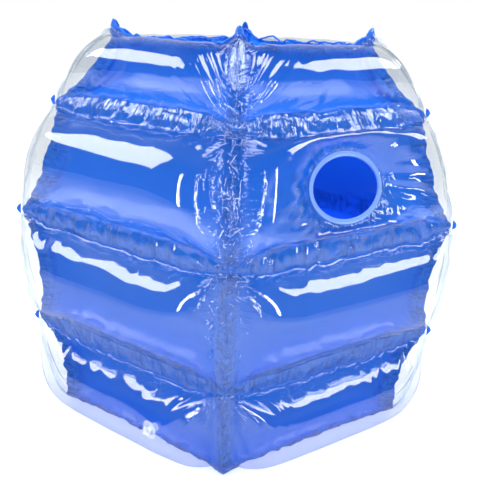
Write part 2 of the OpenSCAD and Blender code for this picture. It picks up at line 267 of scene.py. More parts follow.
class Barrel:
    """Weld surface and film shapes of one quarter panel, drawn facing +X."""

    def __init__(self, sizes):
        self.sizes = sizes
        self.half = np.array(sizes.ring_radii) / math.sqrt(2)
        self.share_seam = 1 - sizes.seam_w / 2 / self.half[WAIST]
        self.share_flat = 1 - sizes.corner_run / self.half[WAIST]
        shoulder = self.weld(SHOULDER, np.array([0.0, 1.0]), np.zeros(2))
        self.shoulder_l = float(np.linalg.norm(shoulder[1] - shoulder[0]))
        self.arm_f = 1 - sizes.arm_up / self.shoulder_l
        self.ring_axes = np.array(sizes.arm_hole) / 2 + sizes.arm_ring_w
        self.flat_axes = self.ring_axes + sizes.arm_land
        self.trim_axes = np.array(sizes.arm_hole) / 2 + sizes.arm_trim

    def corner_share(self, u):
        """0 at the corner seams, 1 along a panel's flat middle."""
        run = np.clip((1 - np.abs(u)) / (1 - self.share_flat), 0, 1)
        return np.sin(np.pi / 2 * run) ** CORNER_POWER

    def pillow_share(self, u):
        """Share of a pillow's full swell, which rises steeply from the edge of the seam strip."""
        edge = self.corner_share(np.array(self.share_seam))
        run = np.clip((self.share_seam - np.abs(u)) / (self.share_seam - self.share_flat), 0, 1)
        strip = np.clip((1 - np.abs(u)) / (1 - self.share_seam), 0, 1)
        return edge * strip + (1 - edge) * np.sin(np.pi / 2 * run) ** SHOULDER_POWER

    def ring(self, i, u):
        """Points of ring i at u, from -1 at one corner seam to 1 at the next."""
        share = self.corner_share(u)
        x = self.half[i] - self.sizes.ring_draws[i] * share
        z = self.sizes.ring_heights[i] - self.sizes.ring_sags[i] * share
        return np.stack([x, self.half[i] * u, z], -1)

    def weld(self, k, f, u):
        """Points of the weld surface in tier k, at f from 0 at its upper ring to 1 at its lower ring."""
        f = np.asarray(f)[..., None]
        return self.ring(k, u) * (1 - f) + self.ring(k + 1, u) * f

    def lean(self, k, u):
        """How far tier k leans back from upright."""
        top, low = self.ring(k, u), self.ring(k + 1, u)
        return np.arctan2(low[..., 0] - top[..., 0], top[..., 2] - low[..., 2])

    def swell_way(self, tip, u):
        """Square to the panel, and along the diagonal at a corner."""
        yaw = np.pi / 4 * (1 - self.corner_share(u)) * np.sign(u)
        return np.stack([np.cos(tip) * np.cos(yaw), np.cos(tip) * np.sin(yaw), np.sin(tip)], -1)

    def arm_flat(self, f, u):
        """Flat coordinates round the arm hole's centre, across and up the shoulder tier."""
        across = (self.half[SHOULDER] * (1 - f) + self.half[SHOULDER + 1] * f) * u
        return np.stack([across, (self.arm_f - f) * self.shoulder_l], -1)

    def dimple(self, f, u):
        """Share of the swell that the arm hole's dimple leaves."""
        e = np.linalg.norm(self.arm_flat(f, u) / self.flat_axes, axis=-1)
        full = self.sizes.arm_dimple / self.flat_axes[1]
        return np.sin(np.pi / 2 * np.clip((e - 1) / full, 0, 1))


class Cut:
    """The grid on which every film is cut: rows from the top rim down, columns from seam to seam."""

    def __init__(self, barrel, blow):
        sizes = barrel.sizes
        self.cell = blow.cell
        dense = np.linspace(-1, 1, DENSE_U)
        crown = self.swollen(barrel, OUTER, SHOULDER, np.full(dense.shape, 0.5), 1.0, dense)
        self.u = self.even(dense, crown, blow.cell)
        share = barrel.corner_share(self.u)
        self.k, self.rise, self.weld_row, self.tier_rows = [], [], [], []
        rows = []

        def add(k, f, rise=0.0):
            self.k.append(k)
            self.rise.append(rise)
            rows.append(np.broadcast_to(f, self.u.shape))

        add(0, 0.0)
        self.weld_row.append(0)
        for k in range(TIERS):
            ends = barrel.weld(k, np.array([0.0, 1.0]), np.zeros(2))
            tall = float(np.linalg.norm(ends[1] - ends[0]))
            # A level weld's flat band is widest in the middle of a panel, and a rim's is plain
            bands = [
                (blow.weld_w / 2 + (blow.eye_h / 2 * share if 0 < ring < TIERS else 0)) / tall
                for ring in (k, k + 1)
            ]
            if k > 0:
                add(k, bands[0] / 2)
            turn = np.linspace(0, np.pi, DENSE_TURN)
            top, low = (float(np.max(band)) for band in bands)
            g = (1 - np.cos(turn)) / 2
            f = top + (1 - top - low) * g
            arc = self.swollen(barrel, OUTER, k, f, np.sin(turn), np.zeros(turn.shape))
            g = self.even(g, arc, blow.cell)
            first = len(rows)
            for value in g:
                rise = 2 * math.sqrt(max(0, value * (1 - value)))
                add(k, bands[0] + (1 - bands[0] - bands[1]) * value, rise)
            self.tier_rows.append((first, len(rows) - 1))
            if k < BOTTOM:
                add(k, 1 - bands[1] / 2)
            add(k, 1.0)
            self.weld_row.append(len(rows) - 1)
        self.k, self.f, self.rise = np.array(self.k), np.array(rows), np.array(self.rise)
        self.shape = self.f.shape
        self.middle = len(self.u) // 2
        self.held = np.ones(self.shape, bool)
        for first, last in self.tier_rows:
            self.held[first + 1 : last] = False
        self.held[:, np.abs(self.u) >= barrel.share_seam - TINY] = True
        self.flange = int(np.sum(self.u >= barrel.share_seam - TINY))
        self.sizes = sizes

    @staticmethod
    def swell(barrel, side, k, rise, u):
        """How far a film of tier k stands off the weld surface."""
        sizes = barrel.sizes
        crown = sizes.crowns[k] if side == OUTER else sizes.liner_crown
        corner = sizes.corner_bow if side == OUTER else sizes.liner_draw
        return rise * (corner + (crown - corner) * barrel.pillow_share(u))

    @staticmethod
    def swollen(barrel, side, k, f, rise, u):
        """Points of a film in tier k, without the arm hole's dimple."""
        swell = Cut.swell(barrel, side, k, rise, u)
        way = barrel.swell_way(barrel.lean(k, u), u)
        return barrel.weld(k, f, u) + side * (barrel.sizes.weld_gap / 2 + swell)[..., None] * way

    @staticmethod
    def even(values, points, cell):
        """Values spaced evenly along the points' line, about a cell apart."""
        run = np.concatenate([[0], np.cumsum(np.linalg.norm(np.diff(points, axis=0), axis=1))])
        count = 2 * max(2, round(run[-1] / cell / 2))
        return np.interp(np.linspace(0, run[-1], count + 1), run, values)

    def start(self, barrel, side, arm):
        """Film points, weld surface points and swell ways before the film is blown up."""
        rows, cols = self.shape
        u = np.broadcast_to(self.u, self.shape)
        film, weld, way = (np.zeros((rows, cols, 3)) for _ in range(3))
        for r in range(rows):
            k, f = int(self.k[r]), self.f[r]
            tip = barrel.lean(k, self.u)
            if r in self.weld_row[1:-1]:
                tip = (tip + barrel.lean(k + 1, self.u)) / 2
            weld[r] = barrel.weld(k, f, self.u)
            way[r] = barrel.swell_way(tip, self.u)
            swell = self.swell(barrel, side, k, self.rise[r], self.u)
            if arm and k == SHOULDER:
                swell = swell * barrel.dimple(f, self.u)
            film[r] = weld[r] + side * (self.sizes.weld_gap / 2 + swell)[:, None] * way[r]
        # The liner's pillows lie against each other at a corner, so each keeps to its side of the mitre plane
        reach = film[..., 0] - np.where(np.abs(u) < 1, MITRE_GAP, 0.0)
        film[..., 1] = np.sign(film[..., 1]) * np.minimum(np.abs(film[..., 1]), reach)
        return film, weld, way


def smooth_noise(count, width, rng):
    """Random numbers of unit spread that change over about width steps."""
    reach = int(3 * width) + 1
    bell = np.exp(-0.5 * (np.arange(-reach, reach + 1) / width) ** 2)
    noise = np.convolve(rng.normal(size=count + 2 * reach), bell, "valid")
    return noise / math.sqrt(float(np.sum(bell**2)))


def smooth_field(shape, widths, rng):
    """Random numbers of unit spread over a grid, that change over about those widths of steps."""
    field = rng.normal(size=shape)
    for axis, width in enumerate(widths):
        reach = int(2 * width)
        bell = np.exp(-0.5 * (np.arange(-reach, reach + 1) / width) ** 2)
        field = np.apply_along_axis(lambda line: np.convolve(line, bell)[reach:-reach], axis, field)
    return field / field.std()


def finer(points, axis):
    """A grid of points with more steps along one axis."""
    old = np.arange(points.shape[axis])
    new = np.linspace(0, old[-1], old[-1] * FINER + 1)
    return np.apply_along_axis(lambda line: np.interp(new, old, line), axis, points)


def crumpled(barrel, cut, blow, seed):
    """Offsets that crumple the welds and corner seams, the same for both films of a panel."""
    rows, cols = cut.shape
    rng = np.random.default_rng(blow.seed + seed)
    corner_rng = np.random.default_rng(blow.seed)
    offset = np.zeros((rows, cols, 3))
    inner = np.clip((barrel.share_seam - np.abs(cut.u)) / CRUMPLE_FADE, 0, 1)
    width = CRUMPLE_W / blow.cell
    for ring, row in enumerate(cut.weld_row):
        near = [r for r in range(row - 2, row + 3) if 0 <= r < rows and cut.held[r, cut.middle]]
        k = min(ring, BOTTOM)
        tip = barrel.lean(k, cut.u)
        way = barrel.swell_way(tip, cut.u)
        out_share, lift_share = RIM_CRUMPLE if ring in (0, TIERS) else WELD_CRUMPLE
        for r in near:
            out = smooth_noise(cols, width, rng) * blow.crumple * out_share
            lift = smooth_noise(cols, 2 * width, rng) * blow.crumple * lift_share
            offset[r] += (out * inner)[:, None] * way
            offset[r, :, 2] += lift * inner
    ends = np.ones(rows)
    for row in cut.weld_row:
        ends *= np.clip(np.abs(np.arange(rows) - row) / SEAM_EASE, 0, 1)
    series = [smooth_noise(rows, SEAM_W * width, corner_rng) * blow.crumple * ends for _ in range(2)]
    for sign, columns in ((1, range(cols - cut.flange, cols)), (-1, range(cut.flange))):
        diagonal = np.array([1, sign, 0]) / math.sqrt(2)
        tangent = np.array([-sign, 1, 0]) / math.sqrt(2)
        edge = smooth_noise(rows, SEAM_EDGE_W * width, rng) * blow.crumple * ends
        for c in columns:
            share = (1 - abs(cut.u[c])) / (1 - barrel.share_seam)
            out = SEAM_OUT * (series[0] * (1 - share) + edge * share)
            offset[:, c] += out[:, None] * diagonal
            offset[:, c] += (SEAM_ASIDE * series[1] * (1 - share))[:, None] * tangent
    return offset


# Blowing up


def pull(points, ties):
    """One pass over the film's ties: a film's tie pulls its ends together, a stiff one keeps them apart."""
    for a, b, rest, give_a, give_b, stiff in ties:
        ends_a, ends_b = points[a], points[b]
        line = ends_b - ends_a
        length = np.sqrt(np.einsum("ijk,ijk->ij", line, line)) + TINY
        share = 1 - rest / length
        share = np.minimum(share, 0) if stiff else np.maximum(share, 0)
        line *= share[..., None]
        ends_a += line * give_a[..., None]
        ends_b -= line * give_b[..., None]


def ties_of(across, along, free):
    """Ties along rows, columns and both diagonals, and weak ones over two cells that keep folds round."""
    rows, cols = free.shape
    slant = np.hypot((across[1:] + across[:-1]) / 2, (along[:, 1:] + along[:, :-1]) / 2)
    kinds = []
    for odd in (0, 1):
        kinds.append(((slice(None), slice(odd, cols - 1, 2)), (0, 1), across, 1.0, False))
        kinds.append(((slice(odd, rows - 1, 2), slice(None)), (1, 0), along, 1.0, False))
        kinds.append(((slice(odd, rows - 1, 2), slice(0, cols - 1)), (1, 1), slant, SLANT_PULL, False))
        kinds.append(((slice(odd, rows - 1, 2), slice(1, cols)), (1, -1), slant, SLANT_PULL, False))
    two_across, two_along = across[:, 1:] + across[:, :-1], along[1:] + along[:-1]
    for first in range(4):
        kinds.append(((slice(None), slice(first, cols - 2, 4)), (0, 2), two_across, STIFF_PUSH, True))
        kinds.append(((slice(first, rows - 2, 4), slice(None)), (2, 0), two_along, STIFF_PUSH, True))
    ties = []
    for a, move, lengths, strength, stiff in kinds:
        index = [np.arange(n)[s] for n, s in zip((rows, cols), a)]

        def moved(steps):
            return tuple(slice(i[0] + d, i[-1] + d + 1, s.step) for i, d, s in zip(index, steps, a))

        b = moved(move)
        rest = lengths[moved([min(d, 0) for d in move])]
        both = np.maximum(free[a] + free[b], NO_GIVE)
        ties.append((a, b, rest, strength * free[a] / both, strength * free[b] / both, stiff))
    return ties


def normals_of(points):
    """Unit normals of a grid, outwards from the ball."""
    across = np.gradient(points, axis=1)
    along = np.gradient(points, axis=0)
    n = np.cross(along, across)
    return n / (np.linalg.norm(n, axis=-1, keepdims=True) + NO_LENGTH)


def blown(start, held, across, along, weld, way, side, blow):
    """The film after its air has pushed it out, with its cut lengths kept and its held points fixed."""
    kind = np.float32
    points, free = start.astype(kind), (~held).astype(kind)
    across, along = across.astype(kind), along.astype(kind)
    weld, way = weld.astype(kind), (way * side).astype(kind)
    ties = ties_of(across, along, free)
    before = points.copy()
    guard = kind(FILM_GUARD)
    for _ in range(blow.steps):
        move = (points - before) * kind(CARRY)
        before = points.copy()
        points += free[..., None] * (move + kind(side * blow.push) * normals_of(points))
        for _ in range(blow.passes):
            pull(points, ties)
        short = guard - np.einsum("ijk,ijk->ij", points - weld, way)
        points += (np.maximum(short, 0) * free)[..., None] * way
        np.maximum(points[..., 2], kind(FLOOR_GAP), out=points[..., 2])
        reach = points[..., 0] - kind(MITRE_SLIP)
        limit = np.minimum(np.abs(points[..., 1]), reach)
        points[..., 1] = np.where(free > 0, np.sign(points[..., 1]) * limit, points[..., 1])
    smooth = points.copy()
    smooth[1:-1, 1:-1] = (
        points[1:-1, 1:-1] * KEEP
        + (points[2:, 1:-1] + points[:-2, 1:-1] + points[1:-1, 2:] + points[1:-1, :-2]) * TAKE
    )
    points = np.where(held[..., None], points, smooth)
    return points.astype(float)


class Films:
    """All blown films, and the flat lengths that they were cut to."""

    def __init__(self, sizes, blow):
        self.barrel = Barrel(sizes)
        self.cut = Cut(self.barrel, blow)
        self.blow = blow
        self.sizes = sizes
        jobs = {
            "outer_front": (OUTER, False, True, 1),
            "outer_back": (OUTER, False, False, 2),
            "outer_arm": (OUTER, True, False, 3),
            "liner_plain": (LINER, False, False, 1),
            "liner_arm": (LINER, True, False, 3),
        }
        with ThreadPoolExecutor(4) as pool:
            made = {name: pool.submit(self.film, *job) for name, job in jobs.items()}
            self.made = {name: job.result() for name, job in made.items()}
        flat = self.flat_lengths(OUTER)
        self.area = float(
            np.sum((flat[0][1:] + flat[0][:-1]) / 2 * (flat[1][:, 1:] + flat[1][:, :-1]) / 2)
        )
        self.flat = (float(flat[0].sum(1).max()), float(flat[1][:, self.cut.middle].sum()))

    def flat_lengths(self, side):
        """Lengths of the cut film's cells across and along."""
        cut, blow = self.cut, self.blow
        plain, weld, _ = cut.start(self.barrel, side, False)
        across = np.linalg.norm(np.diff(plain, axis=1), axis=-1)
        along = np.linalg.norm(np.diff(plain, axis=0), axis=-1)
        wide = weld[:, -1, 1]
        full = np.zeros_like(across)
        for r in range(cut.shape[0]):
            first, last = cut.tier_rows[int(cut.k[r])]
            crown = (first + last) // 2
            full[r] = across[crown] * wide[r] / wide[crown]
        across = np.maximum(across, across + (full - across) * blow.slack_across)
        tall = along[:, cut.middle : cut.middle + 1]
        along = np.maximum(along, along + (tall - along) * blow.slack_along)
        return across * blow.cut, along * blow.cut

    def film(self, side, arm, valve, seed):
        """One blown film, facing +X, with the distances that say where it is cut open."""
        cut, sizes, barrel = self.cut, self.sizes, self.barrel
        across, along = self.flat_lengths(side)
        start, weld, way = cut.start(barrel, side, arm)
        held = cut.held.copy()
        crumples = crumpled(barrel, cut, self.blow, seed) * held[..., None]
        start, weld = start + crumples, weld + crumples
        hole = None
        near = np.full(cut.shape, 1.0)
        if arm:
            shoulder = (cut.k == SHOULDER)[:, None] & ~cut.held
            flat = barrel.arm_flat(cut.f, np.broadcast_to(cut.u, cut.shape))
            held |= shoulder & (np.linalg.norm(flat / (barrel.flat_axes - LOOSE_EDGE), axis=-1) < 1)
            centre = barrel.weld(SHOULDER, np.array(barrel.arm_f), np.array(0.0))
            tip = barrel.lean(SHOULDER, np.array(0.0))
            centre = centre + side * sizes.weld_gap / 2 * barrel.swell_way(tip, np.array(0.0))
            e = np.where(shoulder, np.linalg.norm(flat / barrel.trim_axes, axis=-1), FAR)
            hole = (e, centre)
            near = np.where(
                shoulder, (np.linalg.norm(flat / barrel.flat_axes, axis=-1) - 1) * barrel.flat_axes[1], 1.0
            )
        rng = np.random.default_rng(self.blow.seed + RIPPLE_SEED + seed)
        ripple = np.stack([smooth_noise(cut.shape[1], RIPPLE_W, rng) for _ in range(cut.shape[0])])
        ripple = (ripple + np.roll(ripple, 1, 0) + np.roll(ripple, 2, 0)) / 3
        start = start + (ripple * RIPPLE_H * ~held)[..., None] * normals_of(start)
        if side == OUTER:
            start[..., 2] = np.maximum(start[..., 2], sizes.film_t)
        points = blown(start, held, across, along, weld, way, side, self.blow)
        if valve:
            points, hole = self.seated(points)
        crinkle, pucker = self.gathers(near)
        return {"points": points, "hole": hole, "masks": {"crinkle": crinkle, "pucker": pucker}}

    def seated(self, points):
        """The front film eased on to the flat seat of the valve, with the hole for its neck."""
        sizes, blow = self.sizes, self.blow
        n = np.array([math.cos(sizes.valve_tip), 0, math.sin(sizes.valve_tip)])
        seat = np.array(sizes.valve_seat) - n * sizes.film_t
        away = points - seat
        rise = away @ n
        flat = away - rise[..., None] * n
        near = (self.cut.k == BOTTOM)[:, None] & (rise > -blow.seat_reach)
        radius = np.where(near, np.linalg.norm(flat, axis=-1), 1.0)
        border = float(np.mean(rise[np.abs(radius - blow.seat_r) < self.cut.cell]))
        t = np.clip((blow.seat_reach - radius) / (blow.seat_reach - blow.seat_r), 0, 1)
        eased = rise - border * t * t * (3 - 2 * t)
        eased = np.where(radius < blow.seat_r, 0.0, eased)
        points = points + ((eased - rise) * (radius < blow.seat_reach))[..., None] * n
        return points, (radius / blow.neck_hole_r, seat)

    def gathers(self, near_hole):
        """Two fades over the film: 1 along the welds and rings, and 1 along the corner seams."""
        cut = self.cut
        rows = np.arange(cut.shape[0])
        from_weld = np.min([np.abs(rows - w) for w in cut.weld_row], axis=0) * cut.cell
        edge = np.minimum(np.arange(cut.shape[1]), np.arange(cut.shape[1])[::-1]) - cut.flange
        from_seam = np.maximum(0, edge) * cut.cell
        by_hole = np.exp(-np.maximum(0, near_hole) / CRINKLE_REACH)
        crinkle = np.maximum(np.exp(-from_weld / CRINKLE_REACH)[:, None], by_hole)
        beside = np.where(edge < 0, UNDER_STRIP, np.exp(-from_seam / PUCKER_REACH))
        pucker = np.broadcast_to(beside[None, :], cut.shape)
        return crinkle, pucker

    def facing(self, side, name):
        """The film of that side of the ball, facing +X."""
        if side == OUTER:
            return self.made[{"front": "outer_front", "back": "outer_back"}.get(name, "outer_arm")]
        return self.made["liner_plain" if name in ("front", "back") else "liner_arm"]


def turned(points, degrees):
    """Points turned about +Z."""
    a = math.radians(degrees)
    turn = np.array([[math.cos(a), -math.sin(a), 0], [math.sin(a), math.cos(a), 0], [0, 0, 1]])
    return points @ turn.T


# Meshes


def add_piece(name, mesh, finish, body, *nodes):
    """A finished piece that rides on a body and stands for CAD nodes."""
    piece = bpy.data.objects.new(name, mesh)
    bpy.context.scene.collection.objects.link(piece)
    mesh.materials.clear()
    mesh.materials.append(finish_material(finish))
    mesh.polygons.foreach_set("use_smooth", np.ones(len(mesh.polygons), bool))
    mesh.update()
    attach(piece, body)
    if nodes:
        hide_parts(*nodes)
    return piece


def grid_mesh(name, points, cell, masks, flip=False, hole=None):
    """A mesh over a grid of points, with its cut coordinates as UVs, masks and, where asked, an oval hole."""
    rows, cols = points.shape[:2]
    points = points.copy()
    index = np.arange(rows * cols).reshape(rows, cols)
    quads = np.stack([index[:-1, :-1], index[1:, :-1], index[1:, 1:], index[:-1, 1:]], -1).reshape(-1, 4)
    if hole is not None:
        e, centre = hole
        flat_e = e.reshape(-1)
        keep = flat_e[quads].min(1) >= HOLE_CUT
        rim = np.intersect1d(quads[keep], quads[~keep])
        line = points.reshape(-1, 3)
        line[rim] = centre + (line[rim] - centre) / flat_e[rim, None]
        quads = quads[keep]
    if flip:
        quads = quads[:, ::-1]
    used = np.unique(quads)
    renumber = np.full(rows * cols, -1)
    renumber[used] = np.arange(len(used))
    quads = renumber[quads]
    mesh = bpy.data.meshes.new(name)
    mesh.vertices.add(len(used))
    mesh.vertices.foreach_set("co", points.reshape(-1, 3)[used].astype(np.float32).ravel())
    mesh.loops.add(quads.size)
    mesh.loops.foreach_set("vertex_index", quads.astype(np.int32).ravel())
    mesh.polygons.add(len(quads))
    mesh.polygons.foreach_set("loop_start", np.arange(0, quads.size, 4, dtype=np.int32))
    mesh.update(calc_edges=True)
    down, right = np.divmod(used, cols)
    uv = np.stack([right * cell, -down * cell], -1)
    layer = mesh.uv_layers.new(name="cut")
    layer.data.foreach_set("uv", uv[quads.ravel()].astype(np.float32).ravel())
    for mask, values in masks.items():
        attribute = mesh.attributes.new(mask, "FLOAT", "POINT")
        attribute.data.foreach_set("value", values.reshape(-1)[used].astype(np.float32))
    mesh.validate()
    return mesh


def thicken(piece, thickness):
    """Gives a film its thickness, on the side that its normals point to."""
    solid = piece.modifiers.new("film thickness", "SOLIDIFY")
    solid.thickness = thickness
    solid.offset = 1.0
    solid.use_rim = True


def lathe(profile, segments):
    """Vertices and faces of a profile of (radius, height) turned about Z."""
    verts, rings, faces = [], [], []
    for r, z in profile:
        if r < ON_AXIS:
            rings.append([len(verts)])
            verts.append((0.0, 0.0, z))
        else:
            rings.append([len(verts) + s for s in range(segments)])
            for s in range(segments):
                a = 2 * math.pi * s / segments
                verts.append((r * math.cos(a), r * math.sin(a), z))
    loop = list(zip(rings, rings[1:]))
    if profile[0][0] > ON_AXIS:
        loop.append((rings[-1], rings[0]))
    for low, high in loop:
        for s in range(segments):
            t = (s + 1) % segments
            if len(low) == 1:
                faces.append((low[0], high[t], high[s]))
            elif len(high) == 1:
                faces.append((low[s], low[t], high[0]))
            else:
                faces.append((low[s], low[t], high[t], high[s]))
    return verts, faces


def rounded(corners, radius, steps=4):
    """A profile with its corners rounded, left sharp on the axis."""
    out = []
    count = len(corners)
    for i, point in enumerate(corners):
        here = Vector(point)
        before, after = Vector(corners[i - 1]), Vector(corners[(i + 1) % count])
        if here.x < ON_AXIS:
            out.append(tuple(here))
            continue
        reach = min(radius, (before - here).length / SIDE_PARTS, (after - here).length / SIDE_PARTS)
        a, b = here + (before - here).normalized() * reach, here + (after - here).normalized() * reach
        for s in range(steps + 1):
            t = s / steps
            p = a * (1 - t) ** 2 + here * 2 * t * (1 - t) + b * t**2
            out.append(tuple(p))
    return out


def shell_mesh(name, parts, place):
    """One mesh from parts of vertices and faces, put in its place with its normals out."""
    mesh = bpy.data.meshes.new(name)
    shape = bmesh.new()
    for verts, faces in parts:
        made = [shape.verts.new(place @ Vector(v)) for v in verts]
        for face in faces:
            shape.faces.new([made[i] for i in face])
    bmesh.ops.recalc_face_normals(shape, faces=shape.faces)
    shape.to_mesh(mesh)
    shape.free()
    return mesh


# Materials


WHITE = (1, 1, 1, 1)
# Noise over the film's cut: scale, detail and roughness of its draw lines and of its slow ripples
DRAW_LINES = ((330, 26, 1), 3.0, 0.6)
SLOW_RIPPLES = ((40, 14, 1), 1.0, 0.5)
# Scale of the creased folds under each mask, their depth, and scale and share of the fine folds in them
FOLDS = {"Crinkle": (85, 32, 1), "Pucker": (42, 170, 1)}
FOLD_DEPTH = -4.0
FINE_FOLDS, FINE_SHARE = (150, 150, 1), 0.7
# Scale, detail and roughness of the rubbed patches
PATCHES = ((14, 14, 14), 4.0, 0.65)
FILM_IOR = 1.52
# Length of one unit of relief, a millimetre
RELIEF_UNIT = 0.001
# How a clear film's mirror share grows at a glancing angle
GLANCE_POWER, GLANCE_SHARE = 5.0, 0.25
# The liner's darkest and lightest colour over its own, the range between them, and how much painted shade its
# folds get
SHADES, SHADE_RANGE, PAINTED_FOLD_SHADE = (0.62, 1.10), (0.6, 0.95), 0.4
# Strength of the liner's painted glow, which stands in for light coming through it, and the paleness of lamp
# light that went through
LINER_PAINTED_GLOW, THROUGH_POWER = 0.20, 0.35
# A weld bead: scale of its unevenness, least share of its radius, and height of its middle above the film
BEAD_NOISE, BEAD_LEAST, BEAD_LIFT = 140.0, 0.8, 0.0003


def feed(tree, socket, value):
    """Links a socket to another one, or sets its value."""
    if isinstance(value, bpy.types.NodeSocket):
        tree.links.new(value, socket)
    else:
        socket.default_value = value


def add_node(tree, kind, group=None, **inputs):
    """A node whose named inputs are linked or set, and which may hold a node group."""
    node = tree.nodes.new(kind)
    if group:
        node.node_tree = group
    for name, value in inputs.items():
        feed(tree, node.inputs[name.replace("_", " ")], value)
    return node


def math_node(tree, operation, *values):
    node = tree.nodes.new("ShaderNodeMath")
    node.operation = operation
    for socket, value in zip(node.inputs, values):
        feed(tree, socket, value)
    return node.outputs[0]


def noise_node(tree, vector, scale, detail, rough):
    stretch = add_node(tree, "ShaderNodeMapping", Scale=scale, Vector=vector)
    where = stretch.outputs["Vector"]
    noise = add_node(tree, "ShaderNodeTexNoise", Scale=1.0, Detail=detail, Roughness=rough, Vector=where)
    return noise.outputs["Fac"]


def shared_group(name, kind, inputs, output, fill):
    """The node group of that name, which is made and filled on first use."""
    if name in bpy.data.node_groups:
        return bpy.data.node_groups[name]
    tree = bpy.data.node_groups.new(name, kind)
    for socket, socket_kind, default in inputs:
        made = tree.interface.new_socket(name=socket, in_out="INPUT", socket_type=f"NodeSocket{socket_kind}")
        if default is not None:
            made.default_value = default
    socket, socket_kind = output
    tree.interface.new_socket(name=socket, in_out="OUTPUT", socket_type=f"NodeSocket{socket_kind}")
    given = tree.nodes.new("NodeGroupInput").outputs
    put = tree.nodes.new("NodeGroupOutput").inputs
    tree.links.new(fill(tree, given), put[socket])
    return tree


def fill_ripples(tree, given):
    """Height, in millimetres, of draw lines along the film, slow ripples and gathers beside the welds."""

    def waves(*noise):
        return math_node(tree, "SUBTRACT", noise_node(tree, given["Cut"], *noise), 0.5)

    def times(a, b):
        return math_node(tree, "MULTIPLY", a, b)

    def plus(a, b):
        return math_node(tree, "ADD", a, b)

    lines, slow = waves(*DRAW_LINES), waves(*SLOW_RIPPLES)
    folds = [
        times(times(math_node(tree, "ABSOLUTE", waves(scale, 0.0, 0.5)), FOLD_DEPTH), given[mask])
        for mask, scale in FOLDS.items()
    ]
    both = math_node(tree, "MAXIMUM", given["Crinkle"], given["Pucker"])
    fine = times(waves(FINE_FOLDS, 0.0, 0.5), times(both, FINE_SHARE))
    gather = times(plus(plus(*folds), fine), given["Gathers"])
    height = plus(gather, times(lines, given["Draw lines"]))
    return plus(height, times(slow, given["Ripples"]))


def film_ripples():
    inputs = [("Cut", "Vector", None)]
    for mask_or_height, default in (
        ("Crinkle", 0.0), ("Pucker", 0.0), ("Draw lines", 0.01), ("Ripples", 0.05), ("Gathers", 1.0)
    ):
        inputs.append((mask_or_height, "Float", default))
    return shared_group("film ripples", "ShaderNodeTree", inputs, ("Height", "Float"), fill_ripples)


def fill_marks(tree, given):
    """A slow mask of rubbed and clean patches, from low to high."""
    patches = noise_node(tree, given["Vector"], *PATCHES)
    spread = math_node(tree, "SUBTRACT", given["High"], given["Low"])
    return math_node(tree, "ADD", math_node(tree, "MULTIPLY", patches, spread), given["Low"])


def handling_marks(tree, where, low, high):
    """The mask of handling marks in a material's tree."""
    inputs = [("Vector", "Vector", None), ("Low", "Float", 0.02), ("High", "Float", 0.08)]
    group = shared_group("handling marks", "ShaderNodeTree", inputs, ("Value", "Float"), fill_marks)
    vector = where.outputs["Object"]
    return add_node(tree, "ShaderNodeGroup", group, Low=low, High=high, Vector=vector).outputs["Value"]


def new_material(name, colour, rough, metal=0.0):
    """A material with a Principled shader, rubbed patches in its gloss, and its texture coordinates."""
    material = bpy.data.materials.new(name)
    material.use_nodes = True
    tree = material.node_tree
    tree.nodes.clear()
    where = tree.nodes.new("ShaderNodeTexCoord")
    marks = handling_marks(tree, where, *rough)
    shader = add_node(tree, "ShaderNodeBsdfPrincipled", Metallic=metal, IOR=FILM_IOR, Roughness=marks)
    shader.inputs["Base Color"].default_value = (*colour, 1)
    return material, tree, shader, where


def add_relief(tree, shader, where, **heights):
    """Bumps the shader with the film's ripples, and gives their height."""
    for mask in ("crinkle", "pucker"):
        attribute = tree.nodes.new("ShaderNodeAttribute")
        attribute.attribute_name = mask
        heights[mask.capitalize()] = attribute.outputs["Fac"]
    relief = add_node(tree, "ShaderNodeGroup", film_ripples(), Cut=where.outputs["UV"], **heights)
    height = relief.outputs["Height"]
    bump = add_node(tree, "ShaderNodeBump", Strength=1.0, Distance=RELIEF_UNIT, Height=height)
    tree.links.new(bump.outputs["Normal"], shader.inputs["Normal"])
    return height


def end_mixed(tree, share, first, second):
    """Ends a material's tree with a mix of two shaders, where share is the second one's."""
    mix = add_node(tree, "ShaderNodeMixShader", Fac=share)
    tree.links.new(first.outputs["BSDF"], mix.inputs[1])
    tree.links.new(second.outputs["BSDF"], mix.inputs[2])
    add_node(tree, "ShaderNodeOutputMaterial", Surface=mix.outputs["Shader"])


def see_through(tree, tint):
    """A shader that lets tinted light straight through."""
    return add_node(tree, "ShaderNodeBsdfTransparent", Color=(*tint, 1))


def clear_film(name, tint, rough, mirror, **heights):
    """A film too thin to bend light: each face mirrors a share that grows at a glancing angle."""
    material, tree, shader, where = new_material(name, (1.0, 1.0, 1.0), rough, metal=1.0)
    add_relief(tree, shader, where, **heights)
    glance = add_node(tree, "ShaderNodeLayerWeight", Blend=0.5)
    steep = math_node(tree, "POWER", glance.outputs["Facing"], GLANCE_POWER)
    share = math_node(tree, "ADD", math_node(tree, "MULTIPLY", steep, GLANCE_SHARE), mirror)
    end_mixed(tree, share, see_through(tree, tint), shader)
    return material


